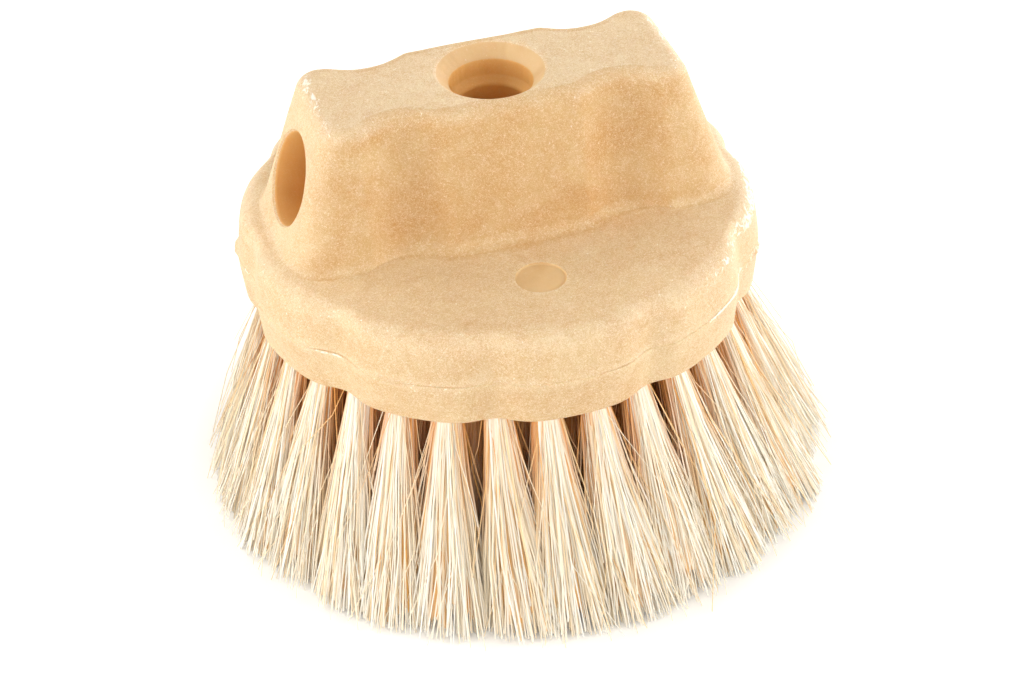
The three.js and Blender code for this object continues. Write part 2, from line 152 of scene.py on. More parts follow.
@dataclass(frozen=True)
class FoamFinish:
    """Structural foam: a polyolefin moulded with gas in it.

    The gas leaves a satin skin that is clouded and swirled like marble and sown with pale
    grains, which also paint glints, and a few white flecks. Wear gives it a whitish haze, which
    on the upward faces also paints their sheen, and where it is worn most it is scraped white in
    streaks. Light goes a few millimetres into it.

    A step says where a layer of colour starts and where it is whole.
    """

    name: str
    mid: str
    deep: str
    pale: str
    # Pale grain colour, which also paints glints
    glint_and_grain: str
    haze_share: float
    grain_share: float
    grain_height: float
    swirl_height: float
    white: str = "#fff6e6"
    fleck_share: float = 0.8
    scrape_share: float = 0.9
    haze_most: float = 0.42
    haze_ground: float = 0.42
    grain_crowding: float = 0.2
    fleck_crowding: float = 0.25
    cloud_size: float = 16.0
    swirl_size: float = 8.0
    haze_size: float = 2.4
    grain_size: float = 0.32
    fleck_size: float = 0.5
    scrape_size: float = 1.3
    scrape_run: float = 0.4
    cloud_step: tuple[float, float] = (0.36, 0.64)
    haze_step: tuple[float, float] = (0.45, 1.35)
    grain_step: tuple[float, float] = (0.58, 0.8)
    fleck_step: tuple[float, float] = (0.9, 0.96)
    scrape_step: tuple[float, float] = (1.13, 1.23)
    roughness: tuple[float, float] = (0.49, 0.65)
    ior: float = 1.5
    specular: float = 0.32
    depth: float = 3.5
    depth_share: float = 0.25
    depth_by_colour: tuple[float, float, float] = (1.0, 0.5, 0.22)

    def make(self) -> bpy.types.Material:
        """Makes the material.

        Returns:
            The material.
        """
        material, tree = new_tree(self.name)
        place = add_node(tree, "ShaderNodeTexCoord").outputs["Object"]
        # Wear, and on the upward faces painted sheen
        worn = add_node(tree, "ShaderNodeAttribute", {"attribute_name": WEAR}).outputs["Fac"]
        stretched = add_node(
            tree,
            "ShaderNodeVectorMath",
            {"operation": "MULTIPLY", 1: (1.0, self.scrape_run, 1.0)},
            {0: place},
        ).outputs[0]
        # The grains are drawn a little coarser than the real ones, so that they show, and their pale
        # colour also paints glints.
        patterns = (
            (place, self.cloud_size, {"Detail": 3.0, "Distortion": 0.8}),
            (place, self.swirl_size, {"Detail": 4.0, "Roughness": 0.6, "Distortion": 1.6}),
            (place, self.haze_size, {"Detail": 6.0, "Roughness": 0.68, "Distortion": 0.6}),
            (place, self.grain_size, {"Detail": 2.0, "Roughness": 0.5, "Distortion": 2.0}),
            (place, self.fleck_size, {"Detail": 1.0, "Distortion": 1.0}),
            (stretched, self.scrape_size, {"Detail": 3.0, "Roughness": 0.6, "Distortion": 1.2}),
        )
        drawn = []
        for spot, size, detail in patterns:
            settings = {"Scale": per_metre(size), **detail}
            drawn.append(add_node(tree, "ShaderNodeTexNoise", settings, {"Vector": spot}).outputs[0])
        cloud, swirl, haze, glint_and_grain, fleck, scrape = drawn
        start, whole = self.cloud_step
        clouds = add_node(
            tree, "ShaderNodeMapRange", {"From Min": start, "From Max": whole}, {"Value": cloud}
        )
        clouded = add_node(
            tree,
            "ShaderNodeMix",
            {"data_type": "RGBA", MIX_A: linear(self.mid), MIX_B: linear(self.deep)},
            {"Factor": clouds.outputs[0]},
        )
        # Haze lies where the skin is worn and where the swirls run pale, and on the upward faces it
        # also paints sheen. Grains, which also paint glints, and flecks crowd there, and scrapes lie
        # where it is worn most.
        ground = add_node(tree, "ShaderNodeMath", {"operation": "ADD"}, {0: swirl, 1: haze})
        dulled = add_node(
            tree, "ShaderNodeMath", {"operation": "MINIMUM", 1: self.haze_most}, {0: worn}
        )
        patch = add_node(
            tree,
            "ShaderNodeMath",
            {"operation": "MULTIPLY_ADD", 1: self.haze_ground},
            {0: ground.outputs[0], 2: dulled.outputs[0]},
        ).outputs[0]
        crowd = add_node(
            tree,
            "ShaderNodeMath",
            {"operation": "MULTIPLY_ADD", 1: self.grain_crowding},
            {0: patch, 2: glint_and_grain},
        ).outputs[0]
        scatter = add_node(
            tree,
            "ShaderNodeMath",
            {"operation": "MULTIPLY_ADD", 1: self.fleck_crowding},
            {0: patch, 2: fleck},
        ).outputs[0]
        rubbed = add_node(
            tree, "ShaderNodeMath", {"operation": "ADD"}, {0: scrape, 1: worn}
        ).outputs[0]
        layers = (
            (patch, self.haze_step, self.haze_share, self.pale),
            (crowd, self.grain_step, self.grain_share, self.glint_and_grain),
            (scatter, self.fleck_step, self.fleck_share, self.white),
            (rubbed, self.scrape_step, self.scrape_share, self.white),
        )
        colour = clouded.outputs[MIX_OUT]
        for amount, (start, whole), share, tint in layers:
            cover = add_node(
                tree,
                "ShaderNodeMapRange",
                {"From Min": start, "From Max": whole, "To Max": share},
                {"Value": amount},
            )
            layer = add_node(
                tree,
                "ShaderNodeMix",
                {"data_type": "RGBA", MIX_B: linear(tint)},
                {"Factor": cover.outputs[0], MIX_A: colour},
            )
            colour = layer.outputs[MIX_OUT]
        least, most = self.roughness
        gloss = add_node(
            tree, "ShaderNodeMapRange", {"To Min": least, "To Max": most}, {"Value": swirl}
        )
        low = add_node(
            tree,
            "ShaderNodeBump",
            {"Strength": 1.0, "Distance": self.swirl_height * MILLIMETRE},
            {"Height": swirl},
        )
        fine = add_node(
            tree,
            "ShaderNodeBump",
            {"Strength": 1.0, "Distance": self.grain_height * MILLIMETRE},
            {"Height": glint_and_grain, "Normal": low.outputs[0]},
        )
        surface = add_node(
            tree,
            "ShaderNodeBsdfPrincipled",
            {
                "IOR": self.ior,
                "Specular IOR Level": self.specular,
                "Subsurface Weight": self.depth_share,
                "Subsurface Radius": self.depth_by_colour,
                "Subsurface Scale": self.depth * MILLIMETRE,
            },
            {"Base Color": colour, "Roughness": gloss.outputs[0], "Normal": fine.outputs[0]},
        )
        add_node(tree, "ShaderNodeOutputMaterial", links={"Surface": surface.outputs[0]})
        return material


@dataclass(frozen=True)
class FibreFinish:
    """Dried plant fibre, combed and cut: cream with straw-coloured strands among it.

    Each strand has a tone of its own and a soft lustre, and is paler toward its tip. Its tone
    runs from straw through cream to bleached. The tone is lowered and the root colour mixed in
    to paint the warm shade deep in the tufts and between them.
    """

    name: str = "tampico_fibre_combed"
    straw: str = "#f8c672"
    cream: str = "#fff0d2"
    bleached: str = "#fffcf1"
    # The root colour paints the warm shade deep in the tufts and between them
    root: str = "#ea9a34"
    cream_tone: float = 0.45
    blotch_size: float = 6.0
    roughness: tuple[float, float] = (0.26, 0.44)
    ior: float = 1.54
    specular: float = 0.05

    def make(self) -> bpy.types.Material:
        """Makes the material.

        Returns:
            The material.
        """
        material, tree = new_tree(self.name)
        place = add_node(tree, "ShaderNodeTexCoord").outputs["Object"]
        tone = add_node(tree, "ShaderNodeAttribute", {"attribute_name": TONE}).outputs["Fac"]
        painted_shade = add_node(tree, "ShaderNodeAttribute", {"attribute_name": PAINTED_SHADE}).outputs["Fac"]
        low = add_node(tree, "ShaderNodeMapRange", {"From Max": self.cream_tone}, {"Value": tone})
        high = add_node(tree, "ShaderNodeMapRange", {"From Min": self.cream_tone}, {"Value": tone})
        straw = add_node(
            tree,
            "ShaderNodeMix",
            {"data_type": "RGBA", MIX_A: linear(self.straw), MIX_B: linear(self.cream)},
            {"Factor": low.outputs[0]},
        )
        shade = add_node(
            tree,
            "ShaderNodeMix",
            {"data_type": "RGBA", MIX_B: linear(self.bleached)},
            {"Factor": high.outputs[0], MIX_A: straw.outputs[MIX_OUT]},
        )
        # Painted shade: the root colour is mixed in by the attribute's share
        warm = add_node(
            tree,
            "ShaderNodeMix",
            {"data_type": "RGBA", MIX_B: linear(self.root)},
            {"Factor": painted_shade, MIX_A: shade.outputs[MIX_OUT]},
        )
        blotch = add_node(
            tree,
            "ShaderNodeTexNoise",
            {"Scale": per_metre(self.blotch_size), "Detail": 3.0},
            {"Vector": place},
        )
        least, most = self.roughness
        gloss = add_node(
            tree,
            "ShaderNodeMapRange",
            {"To Min": least, "To Max": most},
            {"Value": blotch.outputs[0]},
        )
        surface = add_node(
            tree,
            "ShaderNodeBsdfPrincipled",
            {"IOR": self.ior, "Specular IOR Level": self.specular},
            {"Base Color": warm.outputs[MIX_OUT], "Roughness": gloss.outputs[0]},
        )
        add_node(tree, "ShaderNodeOutputMaterial", links={"Surface": surface.outputs[0]})
        return material


@dataclass(frozen=True)
class WireFinish:
    """Zinc-coated steel wire, rolled flat: dull silver with the spangle of the zinc."""

    name: str = "zinc_coated_wire_rolled"
    bright: str = "#c4c5c2"
    dull: str = "#8f918f"
    spangle_size: float = 1.2
    roughness: tuple[float, float] = (0.3, 0.5)

    def make(self) -> bpy.types.Material:
        """Makes the material.

        Returns:
            The material.
        """
        material, tree = new_tree(self.name)
        place = add_node(tree, "ShaderNodeTexCoord").outputs["Object"]
        spangle = add_node(
            tree, "ShaderNodeTexVoronoi", {"Scale": per_metre(self.spangle_size)}, {"Vector": place}
        )
        lot = add_node(tree, "ShaderNodeSeparateColor", links={0: spangle.outputs["Color"]})
        coloured = add_node(
            tree,
            "ShaderNodeMix",
            {"data_type": "RGBA", MIX_A: linear(self.dull), MIX_B: linear(self.bright)},
            {"Factor": lot.outputs[0]},
        )
        least, most = self.roughness
        gloss = add_node(
            tree, "ShaderNodeMapRange", {"To Min": least, "To Max": most}, {"Value": lot.outputs[1]}
        )
        surface = add_node(
            tree,
            "ShaderNodeBsdfPrincipled",
            {"Metallic": 1.0},
            {"Base Color": coloured.outputs[MIX_OUT], "Roughness": gloss.outputs[0]},
        )
        add_node(tree, "ShaderNodeOutputMaterial", links={"Surface": surface.outputs[0]})
        return material


FOAM_SKIN = FoamFinish(
    name="structural_foam_moulded",
    mid="#d2aa72",
    deep="#ca995c",
    pale="#efd9b4",
    # Pale grains, which also paint glints
    glint_and_grain="#fbe9c8",
    haze_share=0.75,
    grain_share=0.7,
    grain_height=0.05,
    swirl_height=0.25,
)
# The bored foam's colours are the cut foam's own, made brighter and more orange to paint the light that
# glows through the walls into the holes
FOAM_BORED = FoamFinish(
    name="structural_foam_bored",
    mid="#e9b468",
    deep="#dfa65a",
    pale="#e8c388",
    glint_and_grain="#f0d6aa",
    haze_share=0.3,
    grain_share=0.25,
    grain_height=0.03,
    swirl_height=0.08,
)
FOAM_PRESSED = FoamFinish(
    name="structural_foam_pressed_smooth",
    mid="#e3bf8a",
    deep="#d6ad76",
    pale="#e4c99f",
    glint_and_grain="#eed8b6",
    haze_share=0.4,
    grain_share=0.2,
    grain_height=0.015,
    swirl_height=0.05,
)


def add_piece(name: str, points: np.ndarray, faces: list[list[int]]) -> bpy.types.Object:
    """Makes a mesh object from points in millimetres.

    Args:
        name: The object's name.
        points: One row of x, y and z for each vertex.
        faces: Vertex numbers of each face, anticlockwise seen from outside.

    Returns:
        The object, linked to the scene.
    """
    mesh = bpy.data.meshes.new(name)
    mesh.from_pydata((points * MILLIMETRE).tolist(), [], faces)
    mesh.shade_smooth()
    piece = bpy.data.objects.new(name, mesh)
    bpy.context.scene.collection.objects.link(piece)
    return piece


def read_vectors(group: Any, name: str) -> np.ndarray:
    """Reads one vector of each item of a mesh's collection.

    Args:
        group: The collection.
        name: The vector's name.

    Returns:
        One row for each item.
    """
    values = np.empty(3 * len(group), np.float32)
    group.foreach_get(name, values)
    return values.reshape(-1, 3)


def ring_faces(levels: int, count: int) -> np.ndarray:
    """Quads between rings of equal length, the lowest ring first.

    Args:
        levels: Number of rings.
        count: Number of points in a ring.

    Returns:
        Four vertex numbers for each quad, band by band.
    """
    level, step = np.meshgrid(np.arange(levels - 1), np.arange(count), indexing="ij")
    here = level * count + step
    beside = level * count + (step + 1) % count
    return np.stack([here, beside, beside + count, here + count], axis=-1).reshape(-1, 4)


def closed_faces(levels: int, count: int) -> list[list[int]]:
    """Faces of a solid made of rings of equal length: the walls, the floor and the top.

    Args:
        levels: Number of rings.
        count: Number of points in a ring.

    Returns:
        Vertex numbers of each face.
    """
    last = (levels - 1) * count
    floor = list(range(count - 1, -1, -1))
    top = list(range(last, last + count))
    return [*ring_faces(levels, count).tolist(), floor, top]


def waves(spots: np.ndarray, rate: float, lot: float) -> np.ndarray:
    """Smooth random waves round a circle.

    Args:
        spots: Points of a circle with a radius of 1.
        rate: How quickly the waves follow one another.
        lot: Which of many sets of waves it is.

    Returns:
        A height for each point, from about -1 to 1.
    """
    return np.array([noise.noise((rate * x, rate * y, lot)) for x, y in spots])


def direction(azimuth: float, elevation: float) -> Vector:
    """The way from the brush to a place around it.

    Args:
        azimuth: In degrees, 0 in front and growing to the right.
        elevation: In degrees above the floor.

    Returns:
        A vector with a length of 1.
    """
    turn, rise = math.radians(azimuth), math.radians(elevation)
    level = math.cos(rise)
    return Vector((math.sin(turn) * level, -math.cos(turn) * level, math.sin(rise)))


def turned(profile: list[tuple[float, float]], sides: int) -> tuple[np.ndarray, list[list[int]]]:
    """A solid of revolution about Z.

    Args:
        profile: Radius and height of each ring, the lowest first. Both ends are closed flat.
        sides: Number of points in a ring.

    Returns:
        Its points and faces.
    """
    turn = np.linspace(0, 2 * np.pi, sides, endpoint=False)
    rings = [np.stack([r * np.cos(turn), r * np.sin(turn), np.full(sides, z)], 1) for r, z in profile]
    return np.concatenate(rings), closed_faces(len(profile), sides)


@dataclass
class Cutters:
    """Solids that are cut out of the block together."""

    points: list[np.ndarray] = field(default_factory=list)
    faces: list[list[int]] = field(default_factory=list)
    finishes: list[int] = field(default_factory=list)

    def add(
        self, points: np.ndarray, faces: list[list[int]], place: Matrix, finishes: list[Face]
    ) -> None:
        """Adds a solid, moved into place.

        Args:
            points: Its points.
            faces: Its faces.
            place: Where it goes, in millimetres.
            finishes: The finish that each face's cut leaves.
        """
        start = sum(len(group) for group in self.points)
        spin = np.array(place.to_3x3())
        self.points.append(points @ spin.T + np.array(place.translation))
        self.faces.extend([[start + i for i in corners] for corners in faces])
        self.finishes.extend([finish.value for finish in finishes])

    def make(self, materials: list[bpy.types.Material]) -> bpy.types.Object:
        """Makes one object of all the solids.

        Args:
            materials: The block's materials, in the order of Face.

        Returns:
            The cutting object.
        """
        cutter = add_piece("cutter", np.concatenate(self.points), self.faces)
        for material in materials:
            cutter.data.materials.append(material)
        cutter.data.polygons.foreach_set("material_index", self.finishes)
        return cutter


@dataclass
class TuftRow:
    """One circle of tufts. A splay is how far a tuft leans out over its length."""

    radius: float
    count: int
    splay: float
    fibres: int

    def frames(self, height: float) -> list[Matrix]:
        """Where each tuft is.

        Args:
            height: Height of the underside, which is also the length of the tufts.

        Returns:
            For each tuft a matrix with its origin at the hole's mouth, X outward and Z up
            along the hole.
        """
        lean = math.atan2(self.splay, height)
        places = []
        for i in range(self.count):
            spin = Matrix.Rotation(2 * math.pi * i / self.count, 4, "Z")
            places.append(
                spin @ Matrix.Translation((self.radius, 0, height)) @ Matrix.Rotation(-lean, 4, "Y")
            )
        return places


@dataclass
class Ring:
    """One level of the block's surface. Its wear is one number, or one for each point."""

    points: np.ndarray
    wear: np.ndarray | float


@dataclass
class MouldedBlock:
    """The moulded block: scalloped rim, flat top, grip ridge, sockets and tuft holes.

    Wear runs from 0 to 1, and each pair of waves is a rate and a lot.
    """

    name: str = "block"
    node: str = "moulded_block"

    underside: float = 53.0
    radius: float = 63.5
    rim_height: float = 23.8
    rim_foot_inset: float = 1.0
    rim_foot_round: float = 1.3
    rim_draft: float = 0.8
    rim_edge_radius: float = 5.0
    notch_count: int = 10
    notch_depth: float = 2.4
    notch_width: float = 12.0

    parting_height: float = 11.6
    parting_step: float = 0.15
    parting_wander: float = 0.6
    parting_waves: tuple[float, float] = (4.0, 1.7)
    seam_levels: tuple[float, ...] = (-0.75, -0.4, -0.2, 0.0, 0.1, 0.22, 0.4, 0.7)
    seam_margin: float = 1.2
    seam_depth: float = 0.4
    seam_rise: float = 0.22
    seam_width: float = 0.12
    seam_waves: tuple[float, float] = (5.0, 4.3)
    seam_mean: float = 0.4
    seam_vary: float = 1.6
    seam_least: float = 0.08
    flash_most: float = 0.9
    flash_gain: float = 2.0
    flash_width: float = 0.4
    flash_waves: tuple[float, float] = (6.0, 7.1)
    ragged_share: float = 0.3
    ragged_waves: tuple[float, float] = (45.0, 2.9)

    ridge_height: float = 34.0
    foot_length: float = 111.0
    foot_width: float = 44.4
    foot_corner: float = 12.0
    crest_length: float = 87.4
    crest_width: float = 32.6
    crest_corner: float = 5.5
    foot_fillet: float = 3.2
    crest_fillet: float = 4.0
    ledge: float = 0.4
    ease_least: float = 0.5
    ease_most: float = 1.4
    groove_spacing: float = 53.2
    groove_width: float = 19.4
    groove_depth: float = 3.6
    groove_edge: float = 0.5
    groove_margin: float = 0.6
    cap_insets: tuple[float, ...] = (0.6, 1.3, 2.0)

    sink_diameter: float = 26.5
    mouth_diameter: float = 20.0
    mouth_depth: float = 4.5
    minor_diameter: float = 16.8
    lip: float = 0.35
    thread_depth: float = 1.3
    thread_root: float = 1.9
    thread_flank: float = 14.5
    thread_pitch: float = 5.08
    thread_turns: float = 3.0
    thread_tail: float = 1.5
    floor_round: float = 0.4
    streak_depth: float = 0.08
    streak_waves: tuple[float, float] = (14.0, 3.3)

    taper_mouth: float = 22.3
    taper_floor: float = 18.4
    taper_depth: float = 28.0
    taper_rise: float = 14.8
    taper_lip: float = 1.1
    taper_floor_round: float = 0.8

    mark_diameter: float = 12.0
    mark_depth: float = 0.45
    mark_distance: float = 38.7
    mark_offset: float = -1.0
    mark_round: float = 0.25
    mark_edge: float = 0.2
    mark_draft: float = 0.15

    hole_diameter: float = 6.0
    hole_depth: float = 12.0

    swell_size: float = 16.0
    swell_height: float = 0.22
    ripple_size: float = 5.0
    ripple_height: float = 0.07
    swell_least_up: float = -0.5
    sharp_angle: float = 38.0
    wall_wear: float = 0.05
    # The flat and the ridge's top take more wear than the walls; part of it paints the sheen that light
    # gives the upward faces
    flat_sheen_and_wear: float = 0.3
    top_sheen_and_wear: float = 0.42
    rim_wear: float = 0.28
    edge_wear: float = 0.12
    # A pale line along the ridge's foot: wear, and a painted highlight on the fillet
    foot_highlight_and_wear: float = 0.08
    crest_wear: float = 0.18
    bore_wear: float = 0.1
    lip_wear: float = 0.45
    seam_wear: float = 0.4
    seam_wear_mean: float = 0.2
    seam_wear_vary: float = 1.8
    seam_wear_height: float = 0.5
    wall_scuff: float = 0.5
    end_wear: float = 0.5
    end_face_wear: float = 0.25
    # Angle, spread and amount of each patch where the rim is rubbed whitish
    scuffs: tuple[tuple[float, float, float], ...] = (
        (-38.0, 24.0, 0.3),
        (178.0, 35.0, 0.08),
        (-12.0, 16.0, 0.35),
    )

    side_steps: int = 152
    shoulder_steps: int = 14
    corner_steps: int = 20
    end_steps: int = 40
    rim_foot_steps: int = 7
    lower_steps: int = 9
    upper_steps: int = 8
    edge_steps: int = 13
    flat_steps: int = 13
    foot_fillet_steps: int = 9
    wall_steps: int = 22
    crest_fillet_steps: int = 11
    crest_wear_steps: int = 14
    socket_steps: int = 160
    thread_levels: int = 40
    mouth_levels: int = 4
    sink_levels: int = 6
    taper_levels: int = 12
    taper_steps: int = 128
    mark_steps: int = 72
    hole_steps: int = 20

    @property
    def base_top(self) -> float:
        """Height of the flat top of the base."""
        return self.underside + self.rim_height

    @property
    def crest_top(self) -> float:
        """Height of the top of the grip ridge."""
        return self.base_top + self.ridge_height

    def plan(self, length: float, width: float, corner: float) -> np.ndarray:
        """Plan of the grip ridge: a rounded rectangle, drawn in at the finger grooves.

        Args:
            length: Over the ends.
            width: Over the sides, away from the grooves.
            corner: Radius of the corners.

        Returns:
            Points, anticlockwise from the left end of the front side.
        """
        x, y = length / 2, width / 2
        inner = (self.groove_spacing + self.groove_width) / 2 + self.groove_margin
        reach = math.atan2(inner, self.foot_width / 2)
        fan = np.tan(np.linspace(-reach, reach, self.side_steps, endpoint=False)) / math.tan(reach)
        long_side = np.concatenate(
            [
                np.linspace(corner - x, -inner, self.shoulder_steps, endpoint=False),
                inner * fan,
                np.linspace(inner, x - corner, self.shoulder_steps, endpoint=False),
            ]
        )
        even = np.linspace(-1, 1, self.end_steps, endpoint=False)
        quarter = np.linspace(0, np.pi / 2, self.corner_steps, endpoint=False)

        def corner_at(across: float, along: float, start: float) -> np.ndarray:
            """Points of one rounded corner."""
            turn = quarter + start
            return np.stack([across + corner * np.cos(turn), along + corner * np.sin(turn)], 1)

        short_side = even * (y - corner)
        level, upright = np.full(len(long_side), y), np.full(self.end_steps, x)
        points = np.concatenate(
            [
                np.stack([long_side, -level], 1),
                corner_at(x - corner, corner - y, -np.pi / 2),
                np.stack([upright, short_side], 1),
                corner_at(x - corner, y - corner, 0.0),
                np.stack([-long_side, level], 1),
                corner_at(corner - x, y - corner, np.pi / 2),
                np.stack([-upright, -short_side], 1),
                corner_at(corner - x, corner - y, np.pi),
            ]
        )
        away = (np.abs(points[:, 0]) - self.groove_spacing / 2) / (self.groove_width / 2)
        scoop = self.groove_depth * (1 - away**2)
        # The scoop counts only where it is above 0, with its edge a little rounded.
        points[:, 1] *= 1 - 0.5 * (scoop + np.hypot(scoop, self.groove_edge)) / y
        return points

    def facing(self) -> np.ndarray:
        """The way that each point of a plan looks out, with the grooves left aside.

        Returns:
            A vector with a length of 1 for each point.
        """
        quarter = np.linspace(-np.pi / 2, 0, self.corner_steps, endpoint=False)
        side = [-np.pi / 2] * (self.side_steps + 2 * self.shoulder_steps)
        half = np.concatenate([side, quarter, [0.0] * self.end_steps, quarter + np.pi / 2])
        turn = np.concatenate([half, half + np.pi])
        return np.stack([np.cos(turn), np.sin(turn)], 1)

    def notch(self, angle: np.ndarray) -> np.ndarray:
        """How deep the rim is notched.

        Args:
            angle: The angle of each point of a ring.

        Returns:
            The depth at each point.
        """
        pitch = 2 * np.pi / self.notch_count
        away = (angle - pitch * np.round(angle / pitch)) * self.radius
        return self.notch_depth * np.exp(-((away / (self.notch_width / 2)) ** 2))

    def scuffed(self, angle: np.ndarray) -> np.ndarray:
        """How much the rim is rubbed whitish.

        Args:
            angle: The angle of each point of a ring.

        Returns:
            The added wear at each point.
        """
        total = np.zeros_like(angle)
        for middle, spread, amount in self.scuffs:
            away = (np.degrees(angle) - middle + 180) % 360 - 180
            total += amount * np.exp(-((away / spread) ** 2))
        return total

    def seam(self, way: np.ndarray) -> list[tuple[np.ndarray, np.ndarray, np.ndarray | float]]:
        """The parting line: a shallow seam with a ragged bead of flash under it.

        Args:
            way: Direction of each point from the middle.

        Returns:
            The reach, the height above the parting line and the added wear of each level, the
            lowest first.
        """
        wander = self.parting_wander * waves(way, *self.parting_waves)
        rough = waves(way, *self.flash_waves) + self.ragged_share * waves(way, *self.ragged_waves)
        flash = self.flash_most * np.clip(self.flash_gain * rough, 0, 1)
        worked = waves(way, *self.seam_waves)
        groove = self.seam_depth * np.clip(self.seam_mean + self.seam_vary * worked, self.seam_least, 1)
        rubbed = self.seam_wear * np.clip(self.seam_wear_mean + self.seam_wear_vary * worked, 0, 1)
        levels = []
        for rise in self.seam_levels:
            bead = flash * np.exp(-((rise / self.flash_width) ** 2))
            cut = groove * np.exp(-(((rise - self.seam_rise) / self.seam_width) ** 2))
            step = self.parting_step if rise > 0 else 0.0
            pale = self.edge_wear + (rubbed if -self.seam_wear_height < rise <= 0 else 0.0)
            levels.append((self.radius - step - cut + bead, wander + rise, pale))
        return levels

    def rim_rings(self, way: np.ndarray) -> list[Ring]:
        """Rings of the rim, from the underside to the flat top.

        Args:
            way: Direction of each point from the middle.

        Returns:
            The rings, the lowest first.
        """
        angle = np.arctan2(way[:, 1], way[:, 0])
        notch = self.notch(angle)
        scuffed = self.scuffed(angle)
        worn = self.rim_wear + self.wall_scuff * scuffed
        foot = self.radius - self.rim_foot_inset
        edge = self.radius - self.rim_draft
        parting = self.underside + self.parting_height
        shoulder = self.base_top - self.rim_edge_radius

        def level(reach: np.ndarray | float, z: np.ndarray | float, share: float) -> np.ndarray:
            """One ring at a distance from the middle, with a share of the notches."""
            out = reach - share * notch
            return np.column_stack([way * out[:, None], np.broadcast_to(z, out.shape)])

        rings = []
        for turn in np.linspace(0, np.pi / 2, self.rim_foot_steps):
            reach = foot - self.rim_foot_round * (1 - np.sin(turn))
            z = self.underside + self.rim_foot_round * (1 - np.cos(turn))
            rings.append(Ring(level(reach, z, 1), worn))
        low = self.underside + self.rim_foot_round
        for part in np.linspace(0, 1, self.lower_steps)[1:-1]:
            reach = foot + part * self.rim_foot_inset
            z = low + part * (parting - low - self.seam_margin)
            rings.append(Ring(level(reach, z, 1), worn))
        for reach, rise, pale in self.seam(way):
            rings.append(Ring(level(reach, parting + rise, 1), worn + pale))
        low = parting + self.seam_margin
        for part in np.linspace(0, 1, self.upper_steps)[1:-1]:
            reach = self.radius - self.parting_step + part * (edge - self.radius + self.parting_step)
            z = low + part * (shoulder - low)
            rings.append(Ring(level(reach, z, 1), worn))
        for turn in np.linspace(0, np.pi / 2, self.edge_steps):
            reach = edge - self.rim_edge_radius * (1 - np.cos(turn))
            z = shoulder + self.rim_edge_radius * np.sin(turn)
            proud = worn + (1 - self.wall_scuff) * np.sin(2 * turn) * scuffed
            edge_worn = proud * np.cos(turn) + self.flat_sheen_and_wear * (1 - np.cos(turn))
            edge_worn = edge_worn + self.edge_wear * np.sin(2 * turn)
            rings.append(Ring(level(reach, z, np.cos(turn)), edge_worn))
        return rings

    def fillet(
        self, before: np.ndarray, corner: np.ndarray, after: np.ndarray, radius: np.ndarray, steps: int
    ) -> np.ndarray:
        """Points round the corner of each wall profile.

        Args:
            before: Unit vectors along the leg before the corner, away from it.
            corner: The corners.
            after: Unit vectors along the leg after the corner, away from it.
            radius: Radius of each round.
            steps: Number of points.

        Returns:
            The points, by step and then by profile.
        """
        half = np.arccos(np.sum(before * after, axis=1)) / 2
        run = (radius / np.tan(half))[:, None]
        start, end = corner + before * run, corner + after * run
        split = before + after
        split /= np.linalg.norm(split, axis=1)[:, None]
        middle = corner + split * (radius / np.sin(half))[:, None]
        sweep = np.pi - 2 * half
        points = []
        for part in np.linspace(0, 1, steps):
            first = (np.sin((1 - part) * sweep) / np.sin(sweep))[:, None]
            second = (np.sin(part * sweep) / np.sin(sweep))[:, None]
            points.append(middle + first * (start - middle) + second * (end - middle))
        return np.array(points)

    def toward_end(self, crest: np.ndarray) -> np.ndarray:
        """How far toward the ridge's ends each point of its crest is, 0 from groove to groove."""
        past = np.abs(crest[:, 0]) - self.groove_spacing / 2
        return np.clip(past / self.groove_width * 2, 0, 1)

    def ridge_rings(self, foot: np.ndarray, crest: np.ndarray, way: np.ndarray) -> list[Ring]:
        """Rings of the grip ridge, from its fillet on the flat top to the edge of its crest.

        Args:
            foot: Plan of the ridge at its foot.
            crest: Plan of the ridge at its crest.
            way: Direction of each foot point from the middle.

        Returns:
            The rings, the lowest first.
        """
        lean = np.linalg.norm(foot - crest, axis=1)
        out = (foot - crest) / lean[:, None]
        low = np.column_stack([lean, np.full_like(lean, self.base_top)])
        high = np.column_stack([np.zeros_like(lean), np.full_like(lean, self.crest_top)])
        up = (high - low) / np.linalg.norm(high - low, axis=1)[:, None]
        level = np.tile([1.0, 0.0], (len(lean), 1))
        room = self.radius - self.rim_draft - self.rim_edge_radius - self.ledge
        room = room - np.linalg.norm(foot, axis=1)
        half = np.arccos(np.sum(level * up, axis=1)) / 2
        radius = np.minimum(self.foot_fillet, room * np.tan(half))
        lower = self.fillet(level, low, up, radius, self.foot_fillet_steps)
        radius = np.full_like(lean, self.crest_fillet)
        upper = self.fillet(-up, high, -level, radius, self.crest_fillet_steps)
        profile = []
        # The foot's fillet is paler in its middle: wear and a painted highlight
        for i, at in enumerate(lower):
            share = math.sin(math.pi * i / (self.foot_fillet_steps - 1))
            profile.append((at, self.wall_wear + self.foot_highlight_and_wear * share))
        for part in np.linspace(0, 1, self.wall_steps)[1:-1]:
            profile.append((lower[-1] + part * (upper[0] - lower[-1]), self.wall_wear))
        for i, at in enumerate(upper):
            share = math.sin(math.pi * i / self.crest_wear_steps)
            profile.append((at, self.wall_wear + self.crest_wear * share))
        rings = []
        facing = self.facing()
        end = self.toward_end(crest)
        for at, wear in profile:
            past = np.maximum(at[:, 0] - lean, 0)[:, None]
            inset = np.minimum(at[:, :1], 0)
            spot = crest + out * (at[:, :1] - past - inset) + facing * inset + way * past
            worn = wear * (1 + self.end_wear * end) + self.end_face_wear * facing[:, 0] ** 2
            rings.append(Ring(np.column_stack([spot, at[:, 1]]), worn))
        return rings

